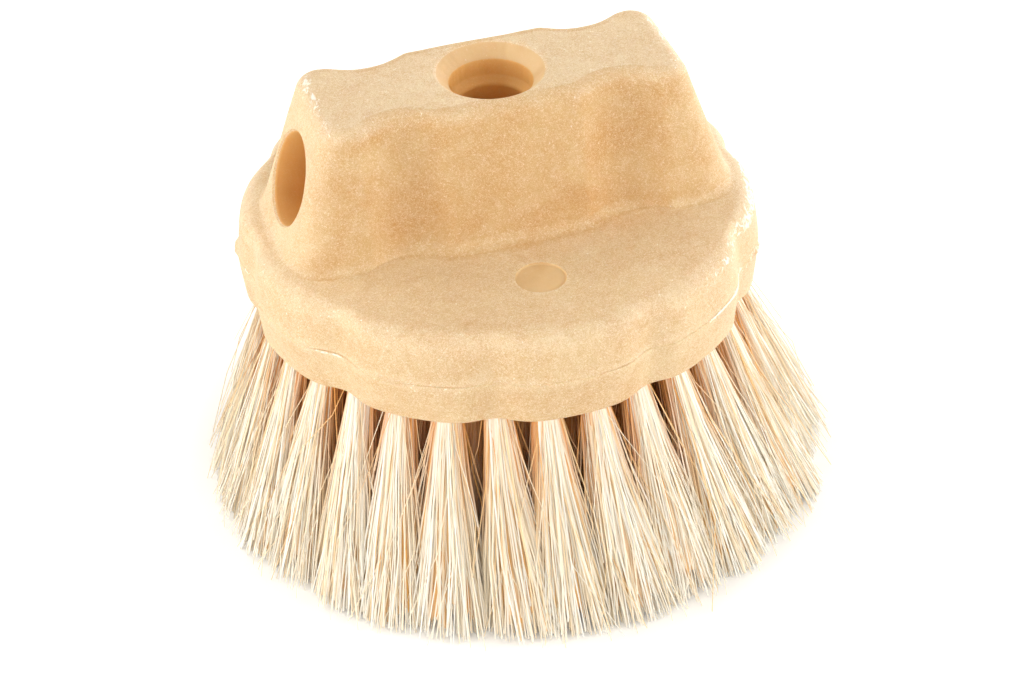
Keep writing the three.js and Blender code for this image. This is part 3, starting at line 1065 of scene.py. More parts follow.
    def cap_rings(self, edge: np.ndarray) -> list[Ring]:
        """Rings of the level top of the ridge, inside the round of its edge.

        Args:
            edge: Where the round ends.

        Returns:
            The rings, the outermost first.
        """
        inward = np.column_stack([-self.facing(), np.zeros(len(edge))])
        return [Ring(edge + inward * inset, self.top_sheen_and_wear) for inset in self.cap_insets]

    def thread(self, angle: np.ndarray, z: float, first: float) -> np.ndarray:
        """How deep the thread is cut at each angle of one level.

        Args:
            angle: The angles.
            z: The level.
            first: Level of the first turn at the angle 0.

        Returns:
            The depth at each angle.
        """
        root = self.thread_root / 2
        flank = self.thread_depth * math.tan(math.radians(self.thread_flank))
        along = z - first - self.thread_pitch * angle / (2 * np.pi)
        turn = np.clip(np.round(along / self.thread_pitch), 0, self.thread_turns - 1)
        away = np.abs(along - turn * self.thread_pitch)
        return np.clip((root + flank - away) / flank, 0, 1) * self.thread_depth

    def socket(self) -> tuple[np.ndarray, list[list[int]], list[Face]]:
        """The threaded socket with its countersink, as a solid to cut with.

        Returns:
            Its points, its faces and the finish of each face.
        """
        turn = np.linspace(0, 2 * np.pi, self.socket_steps, endpoint=False)
        angle = (turn + np.pi) % (2 * np.pi) - np.pi
        across = np.stack([np.cos(turn), np.sin(turn)], 1)
        streak = self.streak_depth * waves(across, *self.streak_waves)
        sink, mouth, minor = self.sink_diameter / 2, self.mouth_diameter / 2, self.minor_diameter / 2
        sink_floor = self.crest_top - (sink - mouth)
        mouth_floor = sink_floor - self.mouth_depth
        thread_top = mouth_floor - (mouth - minor)
        floor = thread_top - (self.thread_turns + 1) * self.thread_pitch - self.thread_tail
        first = floor + self.thread_tail + self.thread_pitch / 2
        lip, low = self.lip, self.floor_round
        # Edges are eased by levels at shares of the lip or the floor's round on either side.
        levels = [
            (minor - low, floor, Face.BORED),
            (minor - 0.25 * low, floor + 0.3 * low, Face.BORED),
        ]
        for z in np.linspace(floor + low, thread_top - 1.5 * low, self.thread_levels):
            levels.append((minor + self.thread(angle, z, first), z, Face.BORED))
        levels += [
            (minor, thread_top - 0.4 * lip, Face.BORED),
            (minor + lip, thread_top + lip, Face.BORED),
            (mouth - 0.3 * lip, mouth_floor - 0.3 * lip, Face.BORED),
        ]
        for part in np.linspace(0, 1, self.mouth_levels):
            z = mouth_floor + 1.2 * lip + part * (self.mouth_depth - 2.4 * lip)
            levels.append((mouth + streak, z, Face.BORED))
        levels += [
            (mouth + 0.25 * lip, sink_floor - 0.25 * lip, Face.BORED),
            (mouth + lip, sink_floor + lip, Face.PRESSED),
        ]
        for part in np.linspace(0, 1, self.sink_levels)[1:-1]:
            rise = part * (sink - mouth)
            levels.append((mouth + rise + streak, sink_floor + rise, Face.PRESSED))
        levels += [
            (sink - lip, self.crest_top - lip, Face.PRESSED),
            (sink + 0.3 * lip, self.crest_top - 0.3 * lip, Face.SKIN),
            (sink + lip, self.crest_top, Face.SKIN),
            (sink + 2 * lip, self.crest_top + 2 * lip, Face.SKIN),
        ]
        rings = []
        for reach, z, _ in levels:
            spread = across * np.reshape(reach, (-1, 1))
            rings.append(np.column_stack([spread, np.full(len(turn), z)]))
        finishes = [face for *_, face in levels[1:] for _ in turn]
        faces = closed_faces(len(levels), self.socket_steps)
        return np.concatenate(rings), faces, [*finishes, Face.BORED, Face.SKIN]

    def taper(self) -> tuple[np.ndarray, list[list[int]], list[Face]]:
        """The tapered socket, as a solid to cut with. Its mouth is at z = 0.

        Returns:
            Its points, its faces and the finish of each face.
        """
        mouth, floor = self.taper_mouth / 2, self.taper_floor / 2
        widening = (mouth - floor) / self.taper_depth
        lip, low = self.taper_lip, self.taper_floor_round - self.taper_depth
        bore = [(floor - self.taper_floor_round, -self.taper_depth), (floor, low)]
        for part in np.linspace(0, 1, self.taper_levels)[1:]:
            z = low - part * (low + lip)
            bore.append((mouth + widening * z, z))
        # The mouth is eased by levels at shares of its lip, and the last one is outside it.
        eased = [(0.12 * lip, -0.45 * lip), (0.45 * lip, -0.12 * lip), (lip, lip), (2 * lip, mouth)]
        bands = [Face.BORED] * len(bore) + [Face.SKIN] * (len(eased) - 1)
        bore += [(mouth + wider, z) for wider, z in eased]
        points, faces = turned(bore, self.taper_steps)
        finishes = [face for face in bands for _ in range(self.taper_steps)]
        return points, faces, [*finishes, Face.BORED, Face.SKIN]

    def between(self, lower: Ring, upper: Ring, steps: int, wear: float) -> list[Ring]:
        """Rings that part a flat between two others.

        Args:
            lower: The ring before the flat.
            upper: The ring after it.
            steps: Number of rings.
            wear: Wear of the flat.

        Returns:
            The rings between the two, in order.
        """
        return [
            Ring(lower.points + part * (upper.points - lower.points), wear)
            for part in np.linspace(0, 1, steps + 2)[1:-1]
        ]

    def soften(self, rings: list[Ring], crest: np.ndarray) -> None:
        """Eases the turns from the rim's edge up to the wall, most at the ridge's ends.

        Args:
            rings: The rings of that stretch, in order. Their points are moved.
            crest: Plan of the ridge at its crest.
        """
        points = np.stack([ring.points for ring in rings])
        step = np.linalg.norm(np.diff(points, axis=0), axis=2)
        along = np.concatenate([np.zeros((1, step.shape[1])), np.cumsum(step, axis=0)])
        weight = np.gradient(along, axis=0)
        reach = self.ease_least + (self.ease_most - self.ease_least) * self.toward_end(crest)
        hold = np.clip(np.minimum(along, along[-1] - along) / (2 * reach), 0, 1)[:, :, None]
        for k, ring in enumerate(rings):
            near = weight * np.exp(-0.5 * ((along - along[k]) / reach) ** 2)
            eased = np.sum(near[:, :, None] * points, axis=0) / np.sum(near, axis=0)[:, None]
            ring.points = points[k] + hold[k] * (eased - points[k])

    def rings(self) -> list[Ring]:
        """All rings of the block's surface.

        Returns:
            The rings, from the underside's edge to the top of the ridge.
        """
        foot = self.plan(self.foot_length, self.foot_width, self.foot_corner)
        crest = self.plan(self.crest_length, self.crest_width, self.crest_corner)
        way = foot / np.linalg.norm(foot, axis=1)[:, None]
        rim = self.rim_rings(way)
        ridge = self.ridge_rings(foot, crest, way)
        flat = self.between(rim[-1], ridge[0], self.flat_steps, self.flat_sheen_and_wear)
        self.soften([*rim[-self.edge_steps :], *flat, *ridge[: len(ridge) // 2]], crest)
        return [*rim, *flat, *ridge, *self.cap_rings(ridge[-1].points)]

    def surface(self) -> bpy.types.Object:
        """Makes the block's closed surface, before the sockets, marks and holes are cut.

        Returns:
            The block.
        """
        rings = self.rings()
        count = len(rings[0].points)
        points = np.concatenate([ring.points for ring in rings])
        block = add_piece(self.name, points, closed_faces(len(rings), count))
        wear = np.concatenate([np.broadcast_to(ring.wear, count) for ring in rings])
        self.swell(block, count)
        block.data.attributes.new(WEAR, "FLOAT", "POINT").data.foreach_set("value", wear)
        return block

    def swell(self, block: bpy.types.Object, count: int) -> None:
        """Gives the skin the slight waves of a foamed moulding.

        Args:
            block: The block's surface.
            count: Number of points in a ring. The last ring stays level, and the one before it
                moves half as far as the others.
        """
        places = read_vectors(block.data.vertices, "co")
        normals = read_vectors(block.data.vertex_normals, "vector")
        share = np.ones(len(places))
        share[-count:] = 0
        share[-2 * count : -count] = 0.5
        for i in np.flatnonzero(normals[:, 2] > self.swell_least_up):
            at = Vector(places[i]) / MILLIMETRE
            height = self.swell_height * noise.noise(at / self.swell_size)
            height += self.ripple_height * noise.noise(at / self.ripple_size)
            places[i] += normals[i] * height * share[i] * MILLIMETRE
        block.data.vertices.foreach_set("co", places.ravel())
        block.data.update()

    def cuts(self, rows: list[TuftRow]) -> Cutters:
        """The solids cut out of the block: the sockets, the pin marks and the tuft holes.

        Args:
            rows: The rows of tufts.

        Returns:
            The cutters.
        """
        cutters = Cutters()
        points, faces, finishes = self.socket()
        cutters.add(points, faces, Matrix.Identity(4), finishes)
        slope = math.atan2((self.foot_length - self.crest_length) / 2, self.ridge_height)
        face_x = -self.foot_length / 2 + self.taper_rise * math.tan(slope)
        place = Matrix.Translation((face_x, 0, self.base_top + self.taper_rise))
        turn = Matrix.Rotation(slope - math.pi / 2, 4, "Y")
        points, faces, finishes = self.taper()
        cutters.add(points, faces, place @ turn, finishes)
        mark = self.mark_diameter / 2
        disc = [
            (mark - self.mark_round, -self.mark_depth),
            (mark, self.mark_edge - self.mark_depth),
            (mark + self.mark_draft, CUT_PAST),
        ]
        points, faces = turned(disc, self.mark_steps)
        for side in (-1, 1):
            spot = Matrix.Translation((self.mark_offset, side * self.mark_distance, self.base_top))
            cutters.add(points, faces, spot, [Face.PRESSED] * len(faces))
        hole = [(self.hole_diameter / 2, -CUT_PAST), (self.hole_diameter / 2, self.hole_depth)]
        points, faces = turned(hole, self.hole_steps)
        for row in rows:
            for spot in row.frames(self.underside):
                cutters.add(points, faces, spot, [Face.BORED] * len(faces))
        return cutters

    def wear_in(self, whole: bpy.types.Mesh, shape: bpy.types.Mesh) -> None:
        """Gives the cut block the wear of the whole one, and its own in and around the cuts.

        Args:
            whole: The block's surface before the cuts.
            shape: Its surface after them.
        """
        tree = KDTree(len(whole.vertices))
        for i, vertex in enumerate(whole.vertices):
            tree.insert(vertex.co, i)
        tree.balance()
        wear = np.empty(len(whole.vertices), np.float32)
        whole.attributes[WEAR].data.foreach_get("value", wear)
        worn = np.array([wear[tree.find(vertex.co)[1]] for vertex in shape.vertices])
        skin, cut_in = set(), set()
        for face in shape.polygons:
            kind = skin if face.material_index == Face.SKIN.value else cut_in
            kind.update(face.vertices)
        worn[list(cut_in)] = self.bore_wear
        worn[list(skin & cut_in)] = self.lip_wear
        if WEAR in shape.attributes:
            shape.attributes.remove(shape.attributes[WEAR])
        shape.attributes.new(WEAR, "FLOAT", "POINT").data.foreach_set("value", worn)

    def build(self, rows: list[TuftRow]) -> bpy.types.Object:
        """Builds and dresses the block.

        Args:
            rows: The rows of tufts that it has holes for.

        Returns:
            The block.
        """
        materials = [finish.make() for finish in (FOAM_SKIN, FOAM_BORED, FOAM_PRESSED)]
        block = self.surface()
        whole = block.data
        for material in materials:
            whole.materials.append(material)
        cutter = self.cuts(rows).make(materials)
        cut = block.modifiers.new("cut", "BOOLEAN")
        cut.operation = "DIFFERENCE"
        cut.solver = "MANIFOLD"
        cut.material_mode = "INDEX"
        cut.object = cutter
        seen = block.evaluated_get(bpy.context.evaluated_depsgraph_get())
        shape = bpy.data.meshes.new_from_object(seen)
        block.modifiers.clear()
        block.data = shape
        shape.name = self.name
        bpy.data.objects.remove(cutter)
        shape.set_sharp_from_angle(angle=math.radians(self.sharp_angle))
        self.wear_in(whole, shape)
        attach(block, BODY)
        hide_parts(self.node)
        log.info("%s: %d faces", block.name, len(shape.polygons))
        return block


@dataclass
class Tubes:
    """Closed tubes that are drawn alike, such as the fibres of a row.

    The arrays go by tube, then by level from root to tip, then by side.
    """

    points: np.ndarray
    tone: np.ndarray
    painted_shade: np.ndarray

    # Shares of a tube's strip on the bake map
    strip_wide: float = 0.9
    strip_tall: float = 0.96
    wall_start: float = 0.08
    end_wide: float = 0.45
    end_tall: float = 0.03

    def faces(self, start: int) -> list[list[int]]:
        """Faces of the tubes: all the sides, then all the root ends, then all the tip ends.

        Args:
            start: Number of the first point.

        Returns:
            Vertex numbers of each face.
        """
        total, levels, sides = self.tone.shape
        first = start + (np.arange(total) * levels * sides)[:, None]
        walls = (first[:, :, None] + ring_faces(levels, sides)[None]).reshape(-1, 4)
        roots = first + np.arange(sides)[::-1]
        tips = first + (levels - 1) * sides + np.arange(sides)
        return [*walls.tolist(), *roots.tolist(), *tips.tolist()]

    def layout(self, columns: int, low: float, high: float) -> np.ndarray:
        """Lays each tube out as a strip of its own on the bake map.

        Args:
            columns: Number of strips side by side.
            low: Where the strips' part of the map starts.
            high: Where it ends.

        Returns:
            A place on the map for each corner, in the order of the faces.
        """
        total, levels, sides = self.tone.shape
        rows = math.ceil(total / columns)
        number = np.arange(total)
        left = (number % columns) / columns
        foot = low + (number // columns) / rows * (high - low)
        wide = self.strip_wide / columns
        tall = self.strip_tall * (high - low) / rows

        def spots(across: np.ndarray, up: np.ndarray) -> np.ndarray:
            """Places of the same corners on every strip.

            Args:
                across: Shares of a strip's width.
                up: Shares of its height.

            Returns:
                The places, strip by strip.
            """
            u = left[:, None] + across.ravel() * wide
            v = foot[:, None] + up.ravel() * tall
            return np.stack([u, v], -1).reshape(-1, 2)

        level, side = np.meshgrid(np.arange(levels - 1), np.arange(sides), indexing="ij")
        across = np.stack([side, side + 1, side + 1, side], -1) / sides
        up = np.stack([level, level, level + 1, level + 1], -1) / (levels - 1)
        walls = spots(across, self.wall_start + (1 - 2 * self.wall_start) * up)
        turn = 2 * np.pi * np.arange(sides) / sides
        across = 0.5 + self.end_wide * np.cos(turn)
        up = self.end_tall * np.sin(turn)
        roots = spots(across, self.end_tall + up)
        tips = spots(across, 1 - self.end_tall + up)
        return np.concatenate([walls, roots, tips])


@dataclass
class FibreTufts:
    """The fibres of one or more rows of tufts, as one piece.

    The fibres that show are drawn one by one. Those packed in the heart of each tuft, which
    hardly show, are drawn together as a fluted core.
    """

    name: str
    node: str
    rows: list[TuftRow]
    seed: int
    # Shares of the root colour that paint shade: near the root on the whole row, and on the lines that
    # face into the tuft
    warmth: float
    warm_reach: float
    inside_warmth: float

    length: float = 53.0
    root_depth: float = 9.0
    tuck: float = 2.0
    bundle: float = 2.65
    flare_out: float = 5.8
    flare_in: float = 9.0
    flare_side: float = 9.8
    tip_least: float = 0.8
    tip_most: float = 1.05
    shell_least: float = 0.92
    shell_most: float = 1.05
    flare_power: float = 1.35
    jitter: float = 1.0
    sway: float = 1.0
    twist: float = 0.55
    facing_share: float = 0.7
    locks: int = 9
    lock_pull: float = 0.3
    bow: float = 1.0
    wave: float = 0.25
    thickness_root: float = 0.42
    thickness_tip: float = 0.34
    roll: float = 0.35
    tilt: float = 0.2
    gauge_least: float = 0.7
    gauge_most: float = 1.2
    ragged: float = 0.9
    short_share: float = 0.12
    short_most: float = 8.0
    bow_out: float = 0.5
    stray_share: float = 0.08
    stray_gauge: float = 0.6
    # Strays and curls take a lower tone, which paints the shade of the gaps they cross
    stray_warmth: float = 1.0
    stray_tone: float = 0.6
    stray_jitter: float = 5.0
    stray_bow: float = 2.4
    curl_share: float = 0.03
    curl_bow: float = 4.5
    curl_run: tuple[float, float] = (0.5, 0.95)
    reach_most: float = 8.0
    # Lines turned away from the outside take root colour and a lower tone: painted shade in and between
    # the tufts
    open_side: float = 0.8
    inside_fade: float = 1.4
    flank_straw: float = 0.4
    # Outer lines are palest, and deeper lines take a lower tone and some root colour: painted light
    # outside the tuft, painted shade within
    depth_straw: float = 0.6
    tone_vary: float = 0.2
    depth_warmth: float = 0.12
    # How much paler the lines grow toward the tip
    tip_paling: float = 0.15
    lean: tuple[float, float] = (2.4, -2.2)
    lean_power: float = 1.4
    segments: int = 3
    sides: int = 3
    core_share: float = 0.96
    # The core's share of root colour paints the golden shade seen between the lines
    core_warmth: float = 0.3
    core_tone: float = 0.6
    core_least: float = 45.0
    core_most: float = 52.0
    core_end: float = 0.86
    flutes: int = 64
    flute_depth: float = 0.03
    map_columns: int = 512

    def flare(self, turn: np.ndarray) -> np.ndarray:
        """How far the tuft's edge is from its middle at the tips, outward and sideways."""
        out = np.where(np.cos(turn) > 0, self.flare_out, self.flare_in)
        return np.stack([out * np.cos(turn), self.flare_side * np.sin(turn)], 1)

    def trace(
        self,
        row: TuftRow,
        number: np.ndarray,
        root: np.ndarray,
        tip: np.ndarray,
        bow: np.ndarray,
        run: np.ndarray,
        levels: np.ndarray,
    ) -> np.ndarray:
        """Lines that run down a row's tufts.

        Args:
            row: The row.
            number: Which tuft each line is in.
            root: Where each line leaves its hole, outward and sideways from the tuft's middle.
            tip: Where it would be at the tuft's full length.
            bow: How far it bows out on its way.
            run: How much of the tuft's length it goes down.
            levels: Where its points are, from 0 at the hole's mouth to 1 at its end.

        Returns:
            Points by line and level.
        """
        angle = 2 * np.pi * number / row.count
        lean = math.atan2(row.splay, self.length)
        points = []
        for level in levels:
            part = np.maximum(level, 0.0) * run
            bent = BOW_SCALE * part**2 * (1 - part)
            ripple = np.sin(2 * np.pi * part) * self.wave * part
            opened = (part**self.flare_power)[:, None]
            off = root + (tip - root) * opened + bow * (bent + ripple)[:, None]
            along = self.length * (level if level < 0 else part)
            down = along + off[:, 0] * math.sin(lean) * math.cos(lean) * part
            out = row.radius + down * math.tan(lean) + off[:, 0]
            drift = part**self.lean_power
            x = out * np.cos(angle) - off[:, 1] * np.sin(angle) + self.lean[0] * drift
            y = out * np.sin(angle) + off[:, 1] * np.cos(angle) + self.lean[1] * drift
            points.append(np.stack([x, y, np.broadcast_to(self.length - along, x.shape)], 1))
        return np.stack(points, 1)

    def swing(self, row: TuftRow) -> np.ndarray:
        """How far each tuft's tips stray from an even row, outward and sideways."""
        return np.random.default_rng(SEED + row.count).normal(0, self.sway, (row.count, 2))

    def hidden(self, turn: np.ndarray) -> np.ndarray:
        """How far each line is turned away from the outside of the brush, from 0 to 1."""
        return np.clip((self.open_side - np.cos(turn)) / self.open_side, 0, 1)

    def fade(self, levels: np.ndarray, turn: np.ndarray) -> np.ndarray:
        """How much of the root colour each line takes as painted shade: near the root on the whole row,
        and further down on the lines that face into the tuft.

        Args:
            levels: Where the points of a line are.
            turn: Where in its tuft each line is, from 0 at the outside.

        Returns:
            A share for each line and level.
        """
        down = np.maximum(levels, 0)[None, :]
        inside = self.inside_warmth * self.hidden(turn)[:, None]
        inside = inside * np.clip(1 - self.inside_fade * down, 0, 1)
        overall = self.warmth * np.clip(1 - down / self.warm_reach, 0, 1)
        return np.clip(overall + inside, 0, 1)

    def fibres(self, row: TuftRow, draw: np.random.Generator) -> Tubes:
        """The fibres of a row that are drawn one by one.

        Args:
            row: The row.
            draw: Source of random numbers.

        Returns:
            The fibres.
        """
        total = row.count * row.fibres
        number = np.repeat(np.arange(row.count), row.fibres)
        depth = draw.random(total)
        spread = self.shell_most - (self.shell_most - self.shell_least) * depth
        turn = draw.vonmises(0, self.facing_share, total)
        root = self.bundle * spread[:, None] * np.stack([np.cos(turn), np.sin(turn)], 1)
        # Near the tips the fibres gather into locks, and some cross their neighbours.
        start = draw.random(row.count)[number]
        share = 2 * np.pi / self.locks
        lock = share * (np.floor(turn / share - start) + start + 0.5)
        turn = turn + self.lock_pull * (lock - turn) + draw.normal(0, self.twist, total)
        spread = self.tip_most - (self.tip_most - self.tip_least) * depth
        tip = spread[:, None] * self.flare(turn)
        tip += self.swing(row)[number]
        stray = (draw.random(total) < self.stray_share)[:, None]
        curl = (draw.random(total) < self.curl_share)[:, None]
        tip += draw.normal(0, 1, (total, 2)) * (self.jitter + stray * self.stray_jitter)
        tip[:, 0] = np.minimum(tip[:, 0], self.reach_most)
        bent = self.bow + stray * self.stray_bow + curl * self.curl_bow
        bow = draw.normal(0, 1, (total, 2)) * bent
        bow[:, 0] *= self.bow_out
        end = np.abs(draw.normal(0, self.ragged, total))
        end += (draw.random(total) < self.short_share) * draw.random(total) * self.short_most
        cut = np.where(curl[:, 0], draw.uniform(*self.curl_run, total), 1)
        run = (1 - end / self.length) * cut
        levels = np.array([-self.tuck / self.length, *np.linspace(0, 1, self.segments + 1)[1:]])
        lines = self.trace(row, number, root, tip, bow, run, levels)
        gauge = draw.uniform(self.gauge_least, self.gauge_most, total)
        gauge *= np.where((curl | stray)[:, 0], self.stray_gauge, 1)
        # Tone falls with depth in the tuft, painting light on the outer lines and shade on the deep
        # ones, and varies at random
        tone = 1 - self.depth_straw * depth + draw.normal(0, self.tone_vary, total)
        # Lines on a tuft's flank take a lower tone, which paints the shade of the gaps
        tone *= 1 - self.flank_straw * self.hidden(turn)
        # Strays and curls take a lower tone: painted shade of the gaps they cross
        tone *= np.where((curl | stray)[:, 0], self.stray_tone, 1)
        angle = 2 * np.pi * number / row.count + draw.normal(0, self.roll, total)
        outward = np.stack([np.cos(angle), np.sin(angle), np.full(total, self.tilt)], 1)
        points = self.skin(lines, outward, gauge)
        shape = points.shape[:3]
        # Deep lines also take some root colour, as painted shade
        warm = np.maximum(self.fade(levels, turn), self.depth_warmth * depth[:, None])
        warm = warm * np.where(stray | curl, self.stray_warmth, 1)
        painted_shade = np.broadcast_to(warm[:, :, None], shape)
        # Tone rises toward the tip
        bleached = tone[:, None] + self.tip_paling * np.maximum(levels, 0) ** 2
        return Tubes(points, np.broadcast_to(bleached[:, :, None], shape), painted_shade)

    def skin(self, lines: np.ndarray, outward: np.ndarray, gauge: np.ndarray) -> np.ndarray:
        """Points round the middle lines of fibres.

        Args:
            lines: Middle lines, by fibre and level.
            outward: The way that a flat side of each fibre looks.
            gauge: Thickness of each fibre, as a share of the usual one.

        Returns:
            Points by fibre, level and side.
        """
        chord = lines[:, -1] - lines[:, 1]
        chord /= np.linalg.norm(chord, axis=1)[:, None]
        beside = np.cross(chord, outward)
        beside /= np.linalg.norm(beside, axis=1)[:, None]
        across = np.cross(beside, chord)
        thin = np.linspace(self.thickness_root, self.thickness_tip, lines.shape[1]) / 2
        thick = (gauge[:, None] * thin)[:, :, None]
        points = []
        for turn in 2 * np.pi * (np.arange(self.sides) + 0.5) / self.sides:
            off = across * math.cos(turn) + beside * math.sin(turn)
            points.append(lines + off[:, None, :] * thick)
        skin = np.stack(points, 2)
        skin[..., 2] = np.maximum(skin[..., 2], 0)
        return skin

    def cores(self, row: TuftRow, draw: np.random.Generator) -> Tubes:
        """The fibres packed in the heart of a row's tufts, a fluted core for each.

        Args:
            row: The row.
            draw: Source of random numbers.

        Returns:
            The cores.
        """
        number = np.repeat(np.arange(row.count), self.flutes)
        flute = np.tile(np.arange(self.flutes), row.count)
        turn = 2 * np.pi * flute / self.flutes
        reach = self.core_share * (1 + self.flute_depth * (-1.0) ** flute)
        way = reach[:, None] * np.stack([np.cos(turn), np.sin(turn)], 1)
        tip = reach[:, None] * self.core_end * self.flare(turn) + self.swing(row)[number]
        run = draw.uniform(self.core_least, self.core_most, len(number)) / self.length
        levels = np.array([-self.root_depth / self.length, *np.linspace(0, 1, self.segments + 1)])
        lines = self.trace(row, number, way * self.bundle, tip, np.zeros_like(way), run, levels)
        points = lines.reshape(row.count, self.flutes, -1, 3).swapaxes(1, 2)
        shape = points.shape[:3]
        tone = self.core_tone * draw.random((row.count, 1, self.flutes))
        # The root colour on the core paints the shade seen between the lines
        warm = np.clip(self.core_warmth + self.fade(levels, turn[: self.flutes]), 0, 1).T
        painted_shade = np.broadcast_to(warm[None, :, ::-1], shape)
        return Tubes(points[:, :, ::-1], np.broadcast_to(tone, shape), painted_shade)

    def build(self, material: bpy.types.Material) -> bpy.types.Object:
        """Builds and dresses the fibres.

        Args:
            material: The fibre's material.

        Returns:
            The piece.
        """
        draw = np.random.default_rng(SEED + self.seed)
        groups = [(self.fibres(row, draw), self.map_columns) for row in self.rows]
        groups += [(self.cores(row, draw), row.count) for row in self.rows]
        faces: list[list[int]] = []
        maps = []
        start = 0
        for k, (group, columns) in enumerate(groups):
            faces += group.faces(start)
            maps.append(group.layout(columns, k / len(groups), (k + 1) / len(groups)))
            start += group.tone.size
        points = np.concatenate([group.points.reshape(-1, 3) for group, _ in groups])
        piece = add_piece(self.name, points, faces)
        mesh = piece.data
        mesh.shade_flat()
        for name in (TONE, PAINTED_SHADE):
            values = np.concatenate([getattr(group, name).ravel() for group, _ in groups])
            shade = mesh.attributes.new(name, "FLOAT", "POINT")
            shade.data.foreach_set("value", values.astype(np.float32))
        layer = mesh.uv_layers.new(name=BAKE_MAP)
        layer.data.foreach_set("uv", np.concatenate(maps).astype(np.float32).ravel())
        mesh.materials.append(material)
        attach(piece, BODY)
        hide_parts(self.node)
        tufts = sum(row.count for row in self.rows)
        log.info("%s: %d tufts, %d faces", piece.name, tufts, len(faces))
        return piece


@dataclass
class Anchors:
    """The flat-wire anchors inside the block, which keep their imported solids."""

    prefix: str = "anchor_"
    finish: WireFinish = WireFinish()

    def dress(self) -> None:
        """Gives every anchor the wire's finish."""
        material = self.finish.make()
        dressed = [node for name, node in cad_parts.items() if name.startswith(self.prefix)]
        for node in dressed:
            node.data.materials.clear()
            node.data.materials.append(material)
        log.info("anchors: %d", len(dressed))


@dataclass
class Lamp:
    """A soft square lamp that looks at the brush.

    Its azimuth is 0 in front and grows to the right, and its power is in watts.
    """

    name: str
    azimuth: float
    elevation: float
    power: float
    distance: float = 1.15
    size: float = 0.6

    def build(self, target: Vector) -> None:
        """Makes the lamp.

        Args:
            target: The point that it looks at.
        """
        way = direction(self.azimuth, self.elevation)
        data = bpy.data.lights.new(self.name, "AREA")
        data.size = self.size
        data.energy = self.power
        lamp = bpy.data.objects.new(self.name, data)
        lamp.location = target + way * self.distance
        lamp.rotation_euler = (-way).to_track_quat("-Z", "Y").to_euler()
        bpy.context.scene.collection.objects.link(lamp)


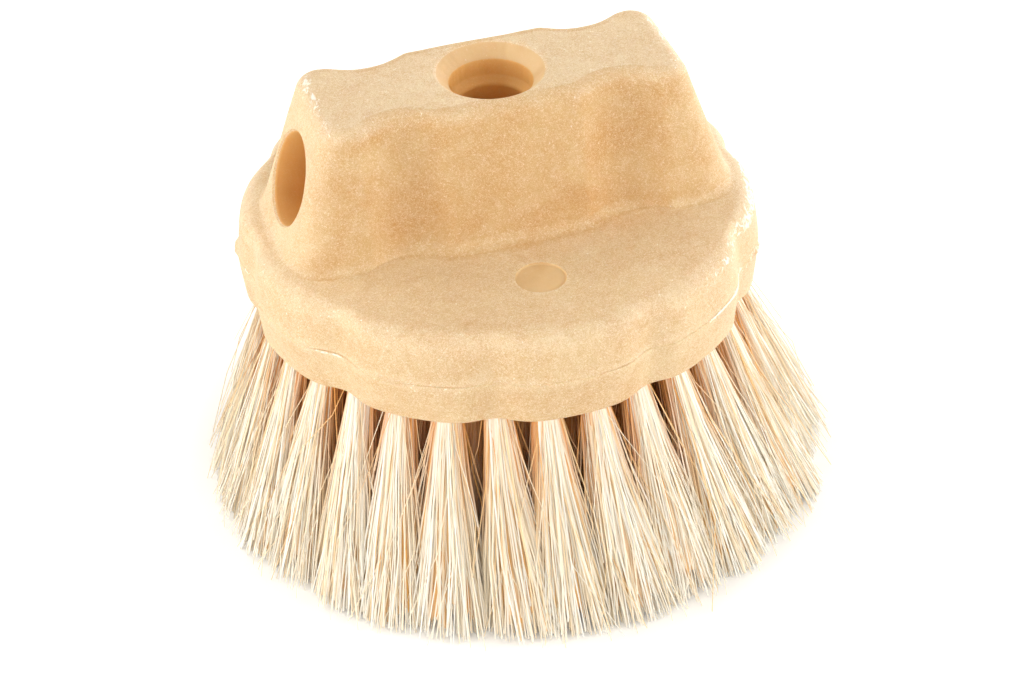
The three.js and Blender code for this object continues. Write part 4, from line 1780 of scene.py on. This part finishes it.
@dataclass
class Studio:
    """Camera, floor and light. Places are in metres."""

    azimuth: float = -15.93
    elevation: float = 36.83
    roll: float = -2.46
    distance: float = 0.69938
    lens: float = 98.13
    target: tuple[float, float, float] = (0.0013, -0.00392, 0.0331)
    floor_size: float = 6.0
    sky: float = 0.27
    white: str = "#ffffff"
    floor: str = "#f9f7f2"
    # Steps of the floor's glow: two distances in millimetres and the strength at each
    glow: tuple[tuple[tuple[float, float], tuple[float, float]], ...] = (
        ((70.0, 95.0), (0.08, 0.26)),
        ((250.0, 900.0), (0.0, 0.8)),
    )
    lamps: tuple[Lamp, ...] = (
        Lamp("left", -80.0, 15.0, 7.6),
        Lamp("back_left", -135.0, 42.0, 4.6),
        Lamp("right", 66.0, 23.0, 7.2),
        Lamp("front", 0.0, 20.0, 3.8),
        Lamp("back_right", 130.0, 14.0, 6.0),
        Lamp("top", 0.0, 84.0, 1.7),
    )

    def build(self) -> None:
        """Builds the camera, the floor and the light."""
        self.add_camera()
        self.add_floor()
        self.add_sky()
        for lamp in self.lamps:
            lamp.build(Vector(self.target))
        bpy.context.scene.view_settings.view_transform = "Standard"

    def add_camera(self) -> None:
        """Makes the camera at the photograph's viewing angle."""
        turn, roll = math.radians(self.azimuth), math.radians(self.roll)
        back = direction(self.azimuth, self.elevation)
        right = Vector((math.cos(turn), math.sin(turn), 0))
        up = back.cross(right)
        rolled = right * math.cos(roll) + up * math.sin(roll)
        upright = up * math.cos(roll) - right * math.sin(roll)
        data = bpy.data.cameras.new("camera")
        data.lens = self.lens
        data.sensor_fit = "HORIZONTAL"
        camera = bpy.data.objects.new("camera", data)
        axes = Matrix((rolled, upright, back)).transposed().to_4x4()
        camera.matrix_world = Matrix.Translation(Vector(self.target) + back * self.distance) @ axes
        bpy.context.scene.collection.objects.link(camera)
        bpy.context.scene.camera = camera

    def shown(self, tree: bpy.types.NodeTree) -> bpy.types.NodeSocket:
        """Tells the rays that show the surroundings from those that light the brush.

        Args:
            tree: The node tree that asks.

        Returns:
            A socket that is 1 for camera, glossy and transmission rays, and 0 for all others.
        """
        path = add_node(tree, "ShaderNodeLightPath")
        total = path.outputs["Is Camera Ray"]
        for name in ("Is Glossy Ray", "Is Transmission Ray"):
            either = add_node(
                tree, "ShaderNodeMath", {"operation": "MAXIMUM"}, {0: total, 1: path.outputs[name]}
            )
            total = either.outputs[0]
        return total

    def add_floor(self) -> None:
        """Makes the pale floor, which shows nearly white and keeps the brush's shadow."""
        half = self.floor_size / 2 / MILLIMETRE
        corners = np.array([(-half, -half, 0), (half, -half, 0), (half, half, 0), (-half, half, 0)])
        floor = add_piece("floor", corners, [[0, 1, 2, 3]])
        material, tree = new_tree("paper_sweep_matt")
        matt = add_node(tree, "ShaderNodeBsdfDiffuse", {"Color": linear(self.floor)})
        place = add_node(tree, "ShaderNodeTexCoord").outputs["Object"]
        away = add_node(tree, "ShaderNodeVectorMath", {"operation": "LENGTH"}, {0: place})
        # It glows more a little way off, and more again where the lamps no longer reach.
        steps = []
        for (near, far), (least, most) in self.glow:
            step = add_node(
                tree,
                "ShaderNodeMapRange",
                {
                    "From Min": near * MILLIMETRE,
                    "From Max": far * MILLIMETRE,
                    "To Min": least,
                    "To Max": most,
                },
                {"Value": away.outputs["Value"]},
            )
            steps.append(step.outputs[0])
        strength = add_node(tree, "ShaderNodeMath", {"operation": "ADD"}, dict(enumerate(steps)))
        glow = add_node(tree, "ShaderNodeEmission", links={"Strength": strength.outputs[0]})
        seen = add_node(tree, "ShaderNodeMixShader", links={0: self.shown(tree), 2: glow.outputs[0]})
        both = add_node(tree, "ShaderNodeAddShader", links={0: matt.outputs[0], 1: seen.outputs[0]})
        add_node(tree, "ShaderNodeOutputMaterial", links={"Surface": both.outputs[0]})
        floor.data.materials.append(material)

    def add_sky(self) -> None:
        """Makes the white surroundings, which the camera sees as plain white."""
        world = bpy.data.worlds.new("white_room")
        world.use_nodes = True
        tree = world.node_tree
        tree.nodes.clear()
        colour = linear(self.white)
        light = add_node(tree, "ShaderNodeBackground", {"Color": colour, "Strength": self.sky})
        white = add_node(tree, "ShaderNodeBackground", {"Color": colour, "Strength": 1.0})
        shown = add_node(
            tree,
            "ShaderNodeMixShader",
            links={0: self.shown(tree), 1: light.outputs[0], 2: white.outputs[0]},
        )
        add_node(tree, "ShaderNodeOutputWorld", links={"Surface": shown.outputs[0]})
        bpy.context.scene.world = world


def main() -> None:
    """Builds the brush and its studio."""
    logging.basicConfig(level=logging.INFO, format="%(name)s: %(message)s")
    outer = TuftRow(radius=54.0, count=30, splay=17.0, fibres=285)
    second = TuftRow(radius=41.0, count=22, splay=12.5, fibres=230)
    third = TuftRow(radius=28.0, count=14, splay=6.0, fibres=180)
    inner = TuftRow(radius=15.0, count=8, splay=3.0, fibres=160)
    centre = TuftRow(radius=0.0, count=1, splay=0.0, fibres=160)
    Studio().build()
    MouldedBlock().build([outer, second, third, inner, centre])
    fibre = FibreFinish().make()
    # The outer row takes little root colour; the inner rows take much, which paints the shade deep
    # inside the brush
    light_shade_paint = {"warmth": 0.03, "warm_reach": 0.4, "inside_warmth": 1.0}
    deep_shade_paint = {"warmth": 0.95, "warm_reach": 1.3, "inside_warmth": 0.3}
    groups = [
        FibreTufts("fibres_outer_row", "tufts_outer_row", [outer], 1, **light_shade_paint),
        FibreTufts("fibres_second_row", "tufts_second_row", [second], 2, **deep_shade_paint),
        FibreTufts("fibres_third_row", "tufts_third_row", [third], 3, **deep_shade_paint),
        FibreTufts("fibres_inner_rows", "tufts_inner_rows", [inner, centre], 4, **deep_shade_paint),
    ]
    for group in groups:
        group.build(fibre)
    Anchors().dress()


if __name__ == "__main__":
    main()
